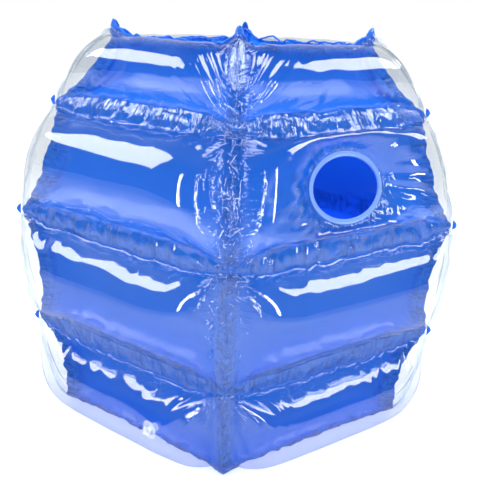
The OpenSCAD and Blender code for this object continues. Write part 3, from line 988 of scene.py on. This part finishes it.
def dyed_film(name, colour, rough, gloss, **heights):
    """The liner film, lighter and darker in slow random patches, with painted shade in its folds and a
    painted glow that stands in for light coming through it.
    """
    material, tree, shader, where = new_material(name, colour, rough)
    shader.inputs["Specular IOR Level"].default_value = gloss
    height = add_relief(tree, shader, where, **heights)
    shade = tree.nodes.new("ShaderNodeMix")
    shade.data_type = "RGBA"
    ends = [socket for socket in shade.inputs if socket.type == "RGBA"]
    for socket, level in zip(ends, SHADES):
        socket.default_value = (*(min(1, level * c) for c in colour), 1)
    patches = handling_marks(tree, where, *SHADE_RANGE)
    # Painted shade: the deeper a fold, the darker the liner's colour in it
    painted_fold_shade = math_node(tree, "MULTIPLY", height, PAINTED_FOLD_SHADE)
    tree.links.new(math_node(tree, "ADD", patches, painted_fold_shade), shade.inputs["Factor"])
    result = next(socket for socket in shade.outputs if socket.type == "RGBA")
    tree.links.new(result, shader.inputs["Base Color"])
    # Painted glow: the liner gives off its own colour, standing in for light that comes through it
    shader.inputs["Emission Strength"].default_value = LINER_PAINTED_GLOW
    tree.links.new(result, shader.inputs["Emission Color"])
    # Light from the lamps goes through the film and takes its colour
    through = see_through(tree, [(c / max(colour)) ** THROUGH_POWER for c in colour])
    path = tree.nodes.new("ShaderNodeLightPath")
    end_mixed(tree, path.outputs["Is Shadow Ray"], shader, through)
    return material


def milky_plastic(name, colour, rough, share):
    """Soft plastic that some of the light goes straight through."""
    material, tree, shader, _ = new_material(name, colour, rough)
    end_mixed(tree, share, see_through(tree, colour), shader)
    return material


# Each finish: its maker, its colour's setting, range of roughness, its mirror, gloss or solid share, and
# heights of its relief
FINISHES = {
    "clear film": (
        clear_film, "clear", (0.02, 0.08), 0.043, {"Draw_lines": 0.025, "Ripples": 0.08, "Gathers": 1.4}
    ),
    "blue film": (
        dyed_film, "blue", (0.08, 0.20), 0.14, {"Draw_lines": 0.004, "Ripples": 0.05, "Gathers": 1.6}
    ),
    "seam film": (
        clear_film, "seam", (0.02, 0.07), 0.012, {"Draw_lines": 0.0, "Ripples": 0.1, "Gathers": 0.0}
    ),
    "ring film": (milky_plastic, "ring", (0.08, 0.20), 0.42, {}),
    "valve": (milky_plastic, "valve", (0.04, 0.10), 0.22, {}),
}


def finish_material(key):
    """The finish of that name, made on first use."""
    name = f"{key} finish"
    if name in bpy.data.materials:
        return bpy.data.materials[name]
    make, setting, rough, share, heights = FINISHES[key]
    return make(name, getattr(bpy.context.scene.bumper_ball_finish, setting), rough, share, **heights)


# Beads along the welds


def fill_bead(tree, given):
    """Turns lines of edges into round beads of melted film."""
    line = add_node(tree, "GeometryNodeMeshToCurve", Mesh=given["Geometry"]).outputs["Curve"]
    noise = add_node(tree, "ShaderNodeTexNoise", Scale=BEAD_NOISE)
    uneven = math_node(tree, "MULTIPLY_ADD", noise.outputs["Fac"], given["Unevenness"], BEAD_LEAST)
    width = add_node(tree, "GeometryNodeSetCurveRadius", Curve=line, Radius=uneven).outputs["Curve"]
    ring = add_node(
        tree, "GeometryNodeCurvePrimitiveCircle", Resolution=given["Sides"], Radius=given["Radius"]
    ).outputs["Curve"]
    sweep = add_node(tree, "GeometryNodeCurveToMesh", Curve=width, Profile_Curve=ring, Fill_Caps=True)
    if "Scale" in sweep.inputs:
        radius = tree.nodes.new("GeometryNodeInputRadius")
        tree.links.new(radius.outputs["Radius"], sweep.inputs["Scale"])
    real = add_node(tree, "GeometryNodeRealizeInstances", Geometry=sweep.outputs["Mesh"])
    solid = real.outputs["Geometry"]
    paint = add_node(tree, "GeometryNodeSetMaterial", Geometry=solid, Material=given["Material"])
    return paint.outputs["Geometry"]


def bead_tree():
    inputs = [
        ("Geometry", "Geometry", None),
        ("Radius", "Float", 0.0006),
        ("Unevenness", "Float", 0.35),
        ("Sides", "Int", 6),
        ("Material", "Material", None),
    ]
    return shared_group("weld bead", "GeometryNodeTree", inputs, ("Geometry", "Geometry"), fill_bead)


def beads(name, lines, radius, finish):
    """One piece of beads along lines of points."""
    lengths = [len(line) for line in lines]
    points = np.concatenate(lines)
    first = np.concatenate([[0], np.cumsum(lengths)])
    edges = [(i, i + 1) for a, n in zip(first, lengths) for i in range(a, a + n - 1)]
    path = bpy.data.meshes.new(f"{name} lines")
    path.from_pydata([tuple(p) for p in points], edges, [])
    maker = bpy.data.objects.new(f"{name} maker", path)
    bpy.context.scene.collection.objects.link(maker)
    tree = bead_tree()
    modifier = maker.modifiers.new("beads", "NODES")
    modifier.node_group = tree
    values = {"Radius": radius, "Material": finish_material(finish)}
    for item in tree.interface.items_tree:
        if item.in_out == "INPUT" and item.name in values:
            modifier[item.identifier] = values[item.name]
    graph = bpy.context.evaluated_depsgraph_get()
    mesh = bpy.data.meshes.new_from_object(maker.evaluated_get(graph))
    bpy.data.objects.remove(maker)
    bpy.data.meshes.remove(path)
    if not mesh.polygons:
        raise RuntimeError(f"{name}: the bead tree made no faces")
    mesh.name = name
    add_piece(name, mesh, finish, BODY)


BLOWN = {}


def films():
    """The blown films, made once for all operators."""
    if "films" not in BLOWN:
        scene = bpy.context.scene
        BLOWN["films"] = Films(scene.bumper_ball_barrel, scene.bumper_ball_blow)
    return BLOWN["films"]


# Operators


class BUMPERBALL_OT_films(bpy.types.Operator):
    """Blow up the clear films and the liner films"""

    bl_idname = "bumper_ball.films"
    bl_label = "Blow up the films"

    def execute(self, context):
        made = films()
        for name, turn in SIDES.items():
            for side, prefix, finish, node in (
                (OUTER, "clear", "clear film", "outer_panel"),
                (LINER, "liner", "blue film", "liner_panel"),
            ):
                film = made.facing(side, name)
                piece_name = f"{prefix}_film_{name}"
                mesh = grid_mesh(
                    piece_name, film["points"], made.cut.cell, film["masks"], side == LINER, film["hole"]
                )
                mesh.transform(Matrix.Rotation(math.radians(turn), 4, "Z"))
                piece = add_piece(piece_name, mesh, finish, BODY, f"{node}_{name}")
                thicken(piece, made.sizes.film_t)
        return {"FINISHED"}


def film_piece(made, name, grid, cell, pucker, finish, *nodes):
    """A small piece of film over a grid of points, puckered all over."""
    shape = grid.shape[:2]
    masks = {"crinkle": np.zeros(shape), "pucker": np.full(shape, pucker)}
    piece = add_piece(name, grid_mesh(name, grid, cell, masks), finish, BODY, *nodes)
    thicken(piece, made.sizes.film_t)


def outwards(points):
    """Unit directions away from the ball's axis."""
    away = points * (1, 1, 0)
    return away / np.linalg.norm(away, axis=-1, keepdims=True)


# Rise of the folds of the liner's corner, as a share of the room to the strip, and its limit
CREASE_SHARE, CREASE_LIMIT = 0.12, 0.0016
STRIP_PUCKER, TAB_PUCKER = 1.3, 0.5
# An ear: how far its sides drop and with what power, its rows at the film's own spacing, width and size of
# its lean, the rim's radius that the lean is a share of, and how far its top tucks in
EAR_DROP, EAR_POWER, EAR_ROWS = 0.67, 1.6, 3
EAR_LEAN_W, EAR_LEAN, RIM_R, EAR_TUCK = 2.5, 0.0010, 0.175, 0.012
# A crushed strip: widths of its uneven edges and of its two sets of folds, and the least of its width
EDGE_W, FOLD_W, LONG_FOLD_W, LEAST_W = (5, 1), (4, 3), (9, 2), 0.6
# How far behind an ear its leaf of liner film lies
LEAF_DEPTH = 0.0012
# A leaf of film at a weld's end: its reach, height, rows, power of its outline, least share of its reach,
# bend, gap to the corner and share of it above the weld
TAB_REACH, TAB_H, TAB_ROWS, TAB_POWER = 0.007, 0.014, 7, 0.8
TAB_LEAST, TAB_BEND, TAB_GAP, TAB_ABOVE = 0.75, 0.0012, 0.0012, 0.55


class BUMPERBALL_OT_corner_seams(bpy.types.Operator):
    """Lay a crumpled strip over each corner seam, with an ear above the top rim"""

    bl_idname = "bumper_ball.corner_seams"
    bl_label = "Corner seams"

    clear: a_length("Gap", "Gap to the film under the strip", 0.0003)
    ear: a_length("Ear", "Height of the ear", 0.010)
    fold_rise: a_length("Fold rise", "Rise of the strip's folds", 0.0011)
    edge_draw: a_number("Edge draw", "Share by which folds draw an edge in", 0.12)

    def execute(self, context):
        made = films()
        cell = made.cut.cell
        tabs = []
        for corner, name in CORNERS.items():
            turn = SIDES[name]
            rng = np.random.default_rng(made.blow.seed + len(corner))
            strip = self.corner_grid(made, name, OUTER)
            middle = strip.shape[1] // 2
            for row in made.cut.weld_row[1:-1]:
                tabs.append(turned(self.weld_tab(strip[row, middle], rng), turn))
            liner = self.corner_grid(made, name, LINER)
            room = np.linalg.norm(strip - liner, axis=-1)[:, [middle]]
            rise = np.clip(finer(room, 0) * CREASE_SHARE, 0, CREASE_LIMIT)
            crease = self.crushed(finer(finer(liner, 0), 1), rise, rng)
            strip = self.crushed(finer(finer(strip, 0), 1), np.array([[self.fold_rise]]), rng)
            ears = self.ears(strip, rng)
            leaf = np.concatenate([ears, strip[:1]])
            tabs.append(turned(leaf - outwards(leaf) * LEAF_DEPTH, turn))
            strip = np.concatenate([ears, strip])
            for prefix, grid, finish, nodes in (
                ("corner_strip", strip, "seam film", [f"corner_seam_{corner}"]),
                ("liner_seam", crease, "blue film", []),
            ):
                grid = turned(grid, turn)
                film_piece(made, f"{prefix}_{corner}", grid, cell / FINER, STRIP_PUCKER, finish, *nodes)
        for number, tab in enumerate(tabs, 1):
            film_piece(made, f"liner_tab_{number}", tab, cell, TAB_PUCKER, "blue film")
        return {"FINISHED"}

    def corner_grid(self, made, name, side):
        """Points over the corner of a panel and the next, on the clear film or behind the liner's face."""
        order = list(SIDES)
        after = order[(order.index(name) + 1) % len(order)]
        n = made.cut.flange
        lift = made.sizes.film_t + self.clear if side == OUTER else -self.clear

        def skin(panel):
            points = made.facing(side, panel)["points"]
            return points + normals_of(points) * lift

        left = skin(name)[:, -n:]
        right = turned(skin(after)[:, :n], 90)
        return np.concatenate([left[:, :-1], (left[:, -1:] + right[:, :1]) / 2, right[:, 1:]], axis=1)

    def ears(self, strip, rng):
        """Rows of points of the ear that stands above the strip's top."""
        across = np.linspace(-1, 1, strip.shape[1])
        rise = self.ear * (1 - EAR_DROP * np.abs(across) ** EAR_POWER)
        lean = smooth_noise(strip.shape[1], EAR_LEAN_W * FINER, rng) * EAR_LEAN
        rows = []
        for share in np.linspace(1, 0, EAR_ROWS * FINER, endpoint=False):
            row = strip[0].copy()
            row[:, 2] += rise * share
            row[:, :2] *= 1 + (lean * share / RIM_R)[:, None] - EAR_TUCK * share
            rows.append(row)
        return np.stack(rows)

    def crushed(self, strip, rise, rng):
        """The strip with creased folds that stand off the film, and uneven edges."""
        rows, cols = strip.shape[:2]
        across = np.linspace(-1, 1, cols)
        middle = strip[:, cols // 2][:, None]
        tight = 1 - self.edge_draw * np.abs(smooth_field((rows, 2), EDGE_W, rng))
        side = np.where(across[None, :] < 0, tight[:, :1], tight[:, 1:])
        strip = middle + (strip - middle) * np.clip(side, LEAST_W, 1)[..., None]
        folds = np.abs(smooth_field((rows, cols), FOLD_W, rng))
        folds = folds + np.abs(smooth_field((rows, cols), LONG_FOLD_W, rng))
        return strip + (rise * folds * (1 - across**4))[..., None] * outwards(middle)

    @staticmethod
    def weld_tab(root, rng):
        """A small crumpled leaf of liner film where a level weld runs out at a corner."""
        diagonal = np.array([1.0, 1.0, 0.0]) / math.sqrt(2)
        tangent = np.array([-1.0, 1.0, 0.0]) / math.sqrt(2)
        rows = []
        for t in np.linspace(0, 1, TAB_ROWS):
            uneven = TAB_LEAST + (1 - TAB_LEAST) * rng.random()
            out = TAB_REACH * math.sin(math.pi * t) ** TAB_POWER * uneven
            bend = rng.normal() * TAB_BEND
            up = np.array([0, 0, TAB_H * (TAB_ABOVE - t)])
            rows.append([
                root + diagonal * (TAB_GAP + out * w) + tangent * bend * w + up for w in (0.0, 0.5, 1.0)
            ])
        return np.array(rows)


class BUMPERBALL_OT_weld_beads(bpy.types.Operator):
    """Run beads of melted film along the level welds and a hem along the top rim"""

    bl_idname = "bumper_ball.weld_beads"
    bl_label = "Weld beads and rim hem"

    bead_r: a_length("Bead radius", "Radius of a weld's bead", 0.0006)
    hem_r: a_length("Hem radius", "Radius of the top rim's hem", 0.0013)

    def execute(self, context):
        made = films()
        cut = made.cut
        welds, hems = [], []
        inner = slice(cut.flange - 1, len(cut.u) - cut.flange + 1)
        for name, turn in SIDES.items():
            film = made.facing(OUTER, name)["points"]
            normal = normals_of(film)
            skin = film + normal * made.sizes.film_t
            for row in cut.weld_row[1:-1]:
                for r in (row - 2, row + 2):
                    welds.append(turned(skin[r, inner] + normal[r, inner] * BEAD_LIFT, turn))
            hem = film[cut.weld_row[0], inner].copy()
            hem[:, 2] += self.hem_r
            hems.append(turned(hem, turn))
        beads("tier_weld_beads", welds, self.bead_r, "blue film")
        beads("rim_hems", hems, self.hem_r, "blue film")
        return {"FINISHED"}


# An arm ring's section, as (reach, rise): its inner lip over the top, its outer lip with the reach taken
# back from the ring's width, and the inner lip under the film
RING_INNER = (
    (0.0002, -0.0011), (0.0, -0.0006), (0.0, 0.0012), (0.0003, 0.0017), (0.0009, 0.00195),
    (0.0016, 0.0018), (0.0021, 0.00145),
)
RING_OUTER = (
    (0.0023, 0.00135), (0.0018, 0.0017), (0.0010, 0.0019), (0.0003, 0.0016), (0.0, 0.0011), (0.0003, 0.00072)
)
RING_UNDER = ((0.0021, 0.00072), (0.0016, 0.0004), (0.0015, -0.0006), (0.0012, -0.0011))
# Seed, width in steps and height of the waves in a ring's top, and the rise above which it waves
RING_SEED, WAVE_W, WAVE_H, WAVE_FROM = 90, 3, 0.00012, 0.001


class BUMPERBALL_OT_arm_rings(bpy.types.Operator):
    """Set a ring with a rolled lip round each arm hole"""

    bl_idname = "bumper_ball.arm_rings"
    bl_label = "Arm rings"

    segments: a_count("Segments", "Steps round the oval", 128)

    def execute(self, context):
        made = films()
        barrel, sizes = made.barrel, made.sizes
        outer = [(sizes.arm_ring_w - back, rise) for back, rise in RING_OUTER]
        section = [*RING_INNER, *outer, *RING_UNDER]
        tip = float(barrel.lean(SHOULDER, np.array(0.0)))
        centre = barrel.weld(SHOULDER, np.array(barrel.arm_f), np.array(0.0))
        out = np.array([math.cos(tip), 0, math.sin(tip)])
        up = np.array([-math.sin(tip), 0, math.cos(tip)])
        side = np.array([0.0, 1.0, 0.0])
        a, b = np.array(sizes.arm_hole) / 2
        rng = np.random.default_rng(made.blow.seed + RING_SEED)
        waves = smooth_noise(2 * self.segments, WAVE_W, rng)[: self.segments]
        waves *= np.sin(np.pi * np.arange(self.segments) / self.segments) * WAVE_H
        verts, faces = [], []
        count = len(section)
        for s in range(self.segments):
            t = 2 * math.pi * s / self.segments
            edge = side * a * math.cos(t) + up * b * math.sin(t)
            away = side * b * math.cos(t) + up * a * math.sin(t)
            away = away / np.linalg.norm(away)
            for reach, rise in section:
                lift = rise + waves[s] if rise > WAVE_FROM else rise
                verts.append(centre + edge + away * reach + out * lift)
            for i in range(count):
                j, n = (i + 1) % count, (s + 1) % self.segments
                faces.append((s * count + i, n * count + i, n * count + j, s * count + j))
        for name in ("right", "left"):
            turn = Matrix.Rotation(math.radians(SIDES[name]), 4, "Z")
            mesh = shell_mesh(f"arm_hole_ring_{name}", [(verts, faces)], turn)
            add_piece(mesh.name, mesh, "ring film", BODY, f"arm_ring_{name}")
        return {"FINISHED"}


def valve_place(sizes):
    """From the valve's own frame, with its axis along +Z, to the ball's."""
    return (
        Matrix.Rotation(math.radians(SIDES["front"]), 4, "Z")
        @ Matrix.Translation(sizes.valve_seat)
        @ Matrix.Rotation(math.radians(90) - sizes.valve_tip, 4, "Y")
        @ Matrix.Rotation(sizes.valve_turn - math.radians(90), 4, "Z")
    )


def strap(path, width, thickness, steps=10, smoothings=12):
    """A flat strap of rounded section along a path of (x, z) points, square to Y."""
    dense = []
    for (x0, z0), (x1, z1) in zip(path, path[1:]):
        for s in range(steps):
            t = s / steps
            dense.append((x0 * (1 - t) + x1 * t, z0 * (1 - t) + z1 * t))
    dense.append(path[-1])
    line = np.array(dense)
    for _ in range(smoothings):
        line[1:-1] = (line[:-2] + 2 * line[1:-1] + line[2:]) / 4
    along = np.gradient(line, axis=0)
    along /= np.linalg.norm(along, axis=1, keepdims=True)
    normal = np.stack([-along[:, 1], along[:, 0]], -1)
    r, half = thickness / 2, width / 2
    section = [(half - r, r), (half, 0.0), (half - r, -r), (r - half, -r), (-half, 0.0), (r - half, r)]
    verts, faces = [], []
    count = len(section)
    for p, n in zip(line, normal):
        for y, h in section:
            verts.append((p[0] + n[0] * h, y, p[1] + n[1] * h))
    for i in range(len(line) - 1):
        for j in range(count):
            k = (j + 1) % count
            faces.append((i * count + j, i * count + k, (i + 1) * count + k, (i + 1) * count + j))
    faces.append(tuple(range(count)))
    faces.append(tuple(reversed(range((len(line) - 1) * count, len(line) * count))))
    return verts, faces


MM = 0.001
# In millimetres in the valve's own frame: profiles of (radius, height), and straps' paths of (x, z)
VALVE_BODY = (
    (4.0, -9.0), (6.0, -9.0), (6.0, 0.2), (12.0, 0.2), (12.0, 0.9), (7.4, 1.0), (6.0, 1.9), (6.0, 3.1),
    (6.3, 3.5), (6.2, 4.2), (4.0, 4.2),
)
VALVE_PLUG = (
    (0.0, 0.0), (3.1, 0.0), (3.5, 2.2), (3.62, 2.5), (3.45, 2.9), (3.7, 4.5), (6.0, 4.5), (6.0, 5.9),
    (5.2, 6.1), (4.6, 5.7), (0.0, 5.6),
)
VALVE_FLAP = ((0.0, -9.9), (5.2, -9.9), (5.2, -9.3), (0.0, -9.3))
TETHER, TETHER_W = ((-4.8, 5.0), (-9.6, 5.0), (-10.9, 4.4), (-10.95, 1.75)), 4.5
PULL_TAB, PULL_TAB_W = ((4.8, 4.95), (7.5, 4.95), (9.9, 5.3)), 4.4
STRAP_T = 0.85


class BUMPERBALL_OT_valve(bpy.types.Operator):
    """Mould the valve, its tethered stopper and its check flap"""

    bl_idname = "bumper_ball.valve"
    bl_label = "Valve"

    def execute(self, context):
        place = valve_place(context.scene.bumper_ball_barrel)
        straps = [
            strap([(x * MM, z * MM) for x, z in path], width * MM, STRAP_T * MM)
            for path, width in ((TETHER, TETHER_W), (PULL_TAB, PULL_TAB_W))
        ]
        for name, body, node, profile, corner_r, segments, more in (
            ("valve_flange", BODY, "valve_body", VALVE_BODY, 0.35, 64, []),
            ("valve_plug", "stopper", "valve_stopper", VALVE_PLUG, 0.3, 48, straps),
            ("valve_check_flap", "flap", "valve_flap", VALVE_FLAP, 0.2, 48, []),
        ):
            outline = [(r * MM, z * MM) for r, z in rounded(profile, corner_r)]
            mesh = shell_mesh(name, [lathe(outline, segments), *more], place)
            add_piece(name, mesh, "valve", body, node)
        return {"FINISHED"}


def soft_lamp(name, place, aim, size, level):
    """A softbox whose face has a plain radiance."""
    lamp = bpy.data.lights.new(name, "AREA")
    lamp.shape = "RECTANGLE"
    lamp.size, lamp.size_y = size
    lamp.energy = level * math.pi * size[0] * size[1]
    obj = bpy.data.objects.new(name, lamp)
    obj.location = place
    obj.rotation_mode = "QUATERNION"
    obj.rotation_quaternion = (Vector(aim) - Vector(place)).to_track_quat("-Z", "Y")
    bpy.context.scene.collection.objects.link(obj)


# A line of sight goes through many films
FILMS_SEEN = 32
FLOOR_FAR = 6.0
# What the floor gives off to rays from the camera, from mirrors and films, and from matt faces
FLOOR_GLOW = (0.60, 0.05, 0.35)
# How the studio's wall ahead and its ceiling fade in mirrors: from and to which direction, and level
WALL_FADE = ((0.35, 0.75), (0.16, 1.0))
CEILING_FADE = ((0.35, 0.60), (1.0, 0.35))
STUDIO_FILL = 0.9
LAMP_AIM = (0.0, 0.0, 0.28)
# Softboxes: turn from the camera in degrees, distance, height, size, and level over the plain one
LAMPS = {
    "overhead softbox": (0, 0.25, 1.9, (1.2, 0.9), 1),
    "left softbox": (-104, 1.6, 1.35, (0.9, 0.62), 1),
    "right softbox": (104, 1.6, 1.35, (0.9, 0.62), 1),
    "left strip": (-52, 1.7, 0.75, (0.10, 1.0), 3),
    "left front strip": (-24, 1.8, 0.70, (0.05, 1.2), 3),
    "right strip": (52, 1.7, 0.75, (0.10, 1.0), 3),
    "right front strip": (24, 1.8, 0.70, (0.05, 1.2), 3),
}
SENSOR_W = 36.0
CLIP = (0.05, 60.0)


def light_rays(tree):
    """What says that a ray comes from the camera, from a mirror or film, or from a matt face."""
    path = tree.nodes.new("ShaderNodeLightPath").outputs
    mirrored = math_node(tree, "MAXIMUM", path["Is Glossy Ray"], path["Is Transmission Ray"])
    return path["Is Camera Ray"], mirrored, path["Is Diffuse Ray"]


class BUMPERBALL_OT_stage(bpy.types.Operator):
    """Set the floor, backdrop, lamps and camera"""

    bl_idname = "bumper_ball.stage"
    bl_label = "Stage"

    def execute(self, context):
        scene = context.scene
        stage = scene.bumper_ball_stage
        scene.view_settings.view_transform = "Standard"
        scene.cycles.transparent_max_bounces = FILMS_SEEN
        self.floor(scene, stage)
        self.world(scene, stage)
        self.lamps(stage)
        self.camera(scene, stage)
        return {"FINISHED"}

    @staticmethod
    def floor(scene, stage):
        mesh = bpy.data.meshes.new("floor")
        corners = [(x * FLOOR_FAR, y * FLOOR_FAR, 0) for x, y in ((-1, -1), (1, -1), (1, 1), (-1, 1))]
        mesh.from_pydata(corners, [], [(0, 1, 2, 3)])
        floor = bpy.data.objects.new("floor", mesh)
        scene.collection.objects.link(floor)
        material = bpy.data.materials.new("pale floor")
        material.use_nodes = True
        tree = material.node_tree
        tree.nodes.clear()
        matt = add_node(tree, "ShaderNodeBsdfDiffuse", Color=(*stage.floor, 1))
        camera, mirrored, diffuse = (
            math_node(tree, "MULTIPLY", ray, share) for ray, share in zip(light_rays(tree), FLOOR_GLOW)
        )
        level = math_node(tree, "ADD", math_node(tree, "ADD", camera, mirrored), diffuse)
        glow = add_node(tree, "ShaderNodeEmission", Color=WHITE, Strength=level)
        both = tree.nodes.new("ShaderNodeAddShader")
        tree.links.new(matt.outputs["BSDF"], both.inputs[0])
        tree.links.new(glow.outputs["Emission"], both.inputs[1])
        add_node(tree, "ShaderNodeOutputMaterial", Surface=both.outputs["Shader"])
        mesh.materials.append(material)

    @staticmethod
    def fade(tree, value, start, end):
        """A value that changes from one level to another over a stretch."""
        fade = add_node(tree, "ShaderNodeMapRange", Value=value)
        for name, number in zip(("From Min", "From Max", "To Min", "To Max"), (*start, *end)):
            fade.inputs[name].default_value = number
        return fade.outputs["Result"]

    def world(self, scene, stage):
        world = bpy.data.worlds.new("studio")
        scene.world = world
        world.use_nodes = True
        tree = world.node_tree
        tree.nodes.clear()
        where = tree.nodes.new("ShaderNodeTexCoord").outputs["Generated"]
        split = add_node(tree, "ShaderNodeSeparateXYZ", Vector=where)
        ahead = tree.nodes.new("ShaderNodeVectorMath")
        ahead.operation = "DOT_PRODUCT"
        ahead.inputs[1].default_value = (-math.sin(stage.azimuth), math.cos(stage.azimuth), 0)
        tree.links.new(where, ahead.inputs[0])
        wall = self.fade(tree, ahead.outputs["Value"], *WALL_FADE)
        ceiling = self.fade(tree, split.outputs["Z"], *CEILING_FADE)
        seen, mirrored, _ = light_rays(tree)
        room = math_node(tree, "MULTIPLY", math_node(tree, "MULTIPLY", wall, ceiling), mirrored)
        rest = math_node(tree, "SUBTRACT", 1.0, math_node(tree, "MAXIMUM", seen, mirrored))
        fill = math_node(tree, "MULTIPLY", rest, STUDIO_FILL)
        level = math_node(tree, "ADD", math_node(tree, "ADD", seen, room), fill)
        glow = add_node(tree, "ShaderNodeBackground", Color=WHITE, Strength=level)
        add_node(tree, "ShaderNodeOutputWorld", Surface=glow.outputs["Background"])

    @staticmethod
    def lamps(stage):
        for name, (turn, away, height, size, level) in LAMPS.items():
            t = stage.azimuth + math.radians(turn)
            place = (away * math.sin(t), -away * math.cos(t), height)
            soft_lamp(name, place, LAMP_AIM, size, level * stage.lamp_level)

    @staticmethod
    def camera(scene, stage):
        lens = bpy.data.cameras.new("camera")
        camera = bpy.data.objects.new("camera", lens)
        scene.collection.objects.link(camera)
        scene.camera = camera
        width, height = PHOTO_SIZE
        lens.sensor_fit = "AUTO"
        lens.sensor_width = SENSOR_W
        lens.lens = stage.focal_pixels / max(width, height) * lens.sensor_width
        lens.clip_start, lens.clip_end = CLIP
        a, e = stage.azimuth, stage.elevation
        back = Vector((math.sin(a) * math.cos(e), -math.cos(a) * math.cos(e), math.sin(e)))
        aim = Vector((0, 0, stage.aim_height))
        camera.location = aim + back * stage.distance
        straight = (-back).to_track_quat("-Z", "Y")
        x = (stage.aim_pixel[0] - width / 2) / stage.focal_pixels
        y = -(stage.aim_pixel[1] - height / 2) / stage.focal_pixels
        # The aim point's direction in the camera's own frame goes to straight ahead, after the roll
        tilt = Vector((x, y, -1)).rotation_difference(Vector((0, 0, -1)))
        rolled = Quaternion((0, 0, 1), stage.roll)
        camera.rotation_mode = "QUATERNION"
        camera.rotation_quaternion = straight @ rolled @ tilt


class BUMPERBALL_PT_sidebar(bpy.types.Panel):
    """Bumper ball's pieces and settings"""

    bl_idname = "BUMPERBALL_PT_sidebar"
    bl_label = "Bumper Ball"
    bl_space_type = "VIEW_3D"
    bl_region_type = "UI"
    bl_category = "Bumper Ball"

    def draw(self, context):
        for operator in OPERATORS:
            self.layout.operator(operator.bl_idname)
        for name in GROUPS:
            box = self.layout.box()
            group = getattr(context.scene, name)
            for key in group.__annotations__:
                box.prop(group, key)


OPERATORS = (
    BUMPERBALL_OT_stage,
    BUMPERBALL_OT_films,
    BUMPERBALL_OT_corner_seams,
    BUMPERBALL_OT_weld_beads,
    BUMPERBALL_OT_arm_rings,
    BUMPERBALL_OT_valve,
)
GROUPS = {
    "bumper_ball_barrel": BarrelSizes,
    "bumper_ball_blow": BlowSettings,
    "bumper_ball_finish": FinishSettings,
    "bumper_ball_stage": StageSettings,
}


def register():
    for group in GROUPS.values():
        bpy.utils.register_class(group)
    for name, group in GROUPS.items():
        setattr(bpy.types.Scene, name, PointerProperty(type=group))
    for operator in OPERATORS:
        bpy.utils.register_class(operator)
    bpy.utils.register_class(BUMPERBALL_PT_sidebar)


def unregister():
    bpy.utils.unregister_class(BUMPERBALL_PT_sidebar)
    for operator in reversed(OPERATORS):
        bpy.utils.unregister_class(operator)
    for name in GROUPS:
        delattr(bpy.types.Scene, name)
    for group in reversed(list(GROUPS.values())):
        bpy.utils.unregister_class(group)


def main():
    register()
    bpy.ops.bumper_ball.stage()
    bpy.ops.bumper_ball.films()
    bpy.ops.bumper_ball.corner_seams()
    bpy.ops.bumper_ball.weld_beads()
    bpy.ops.bumper_ball.arm_rings()
    bpy.ops.bumper_ball.valve()


if __name__ == "__main__":
    main()
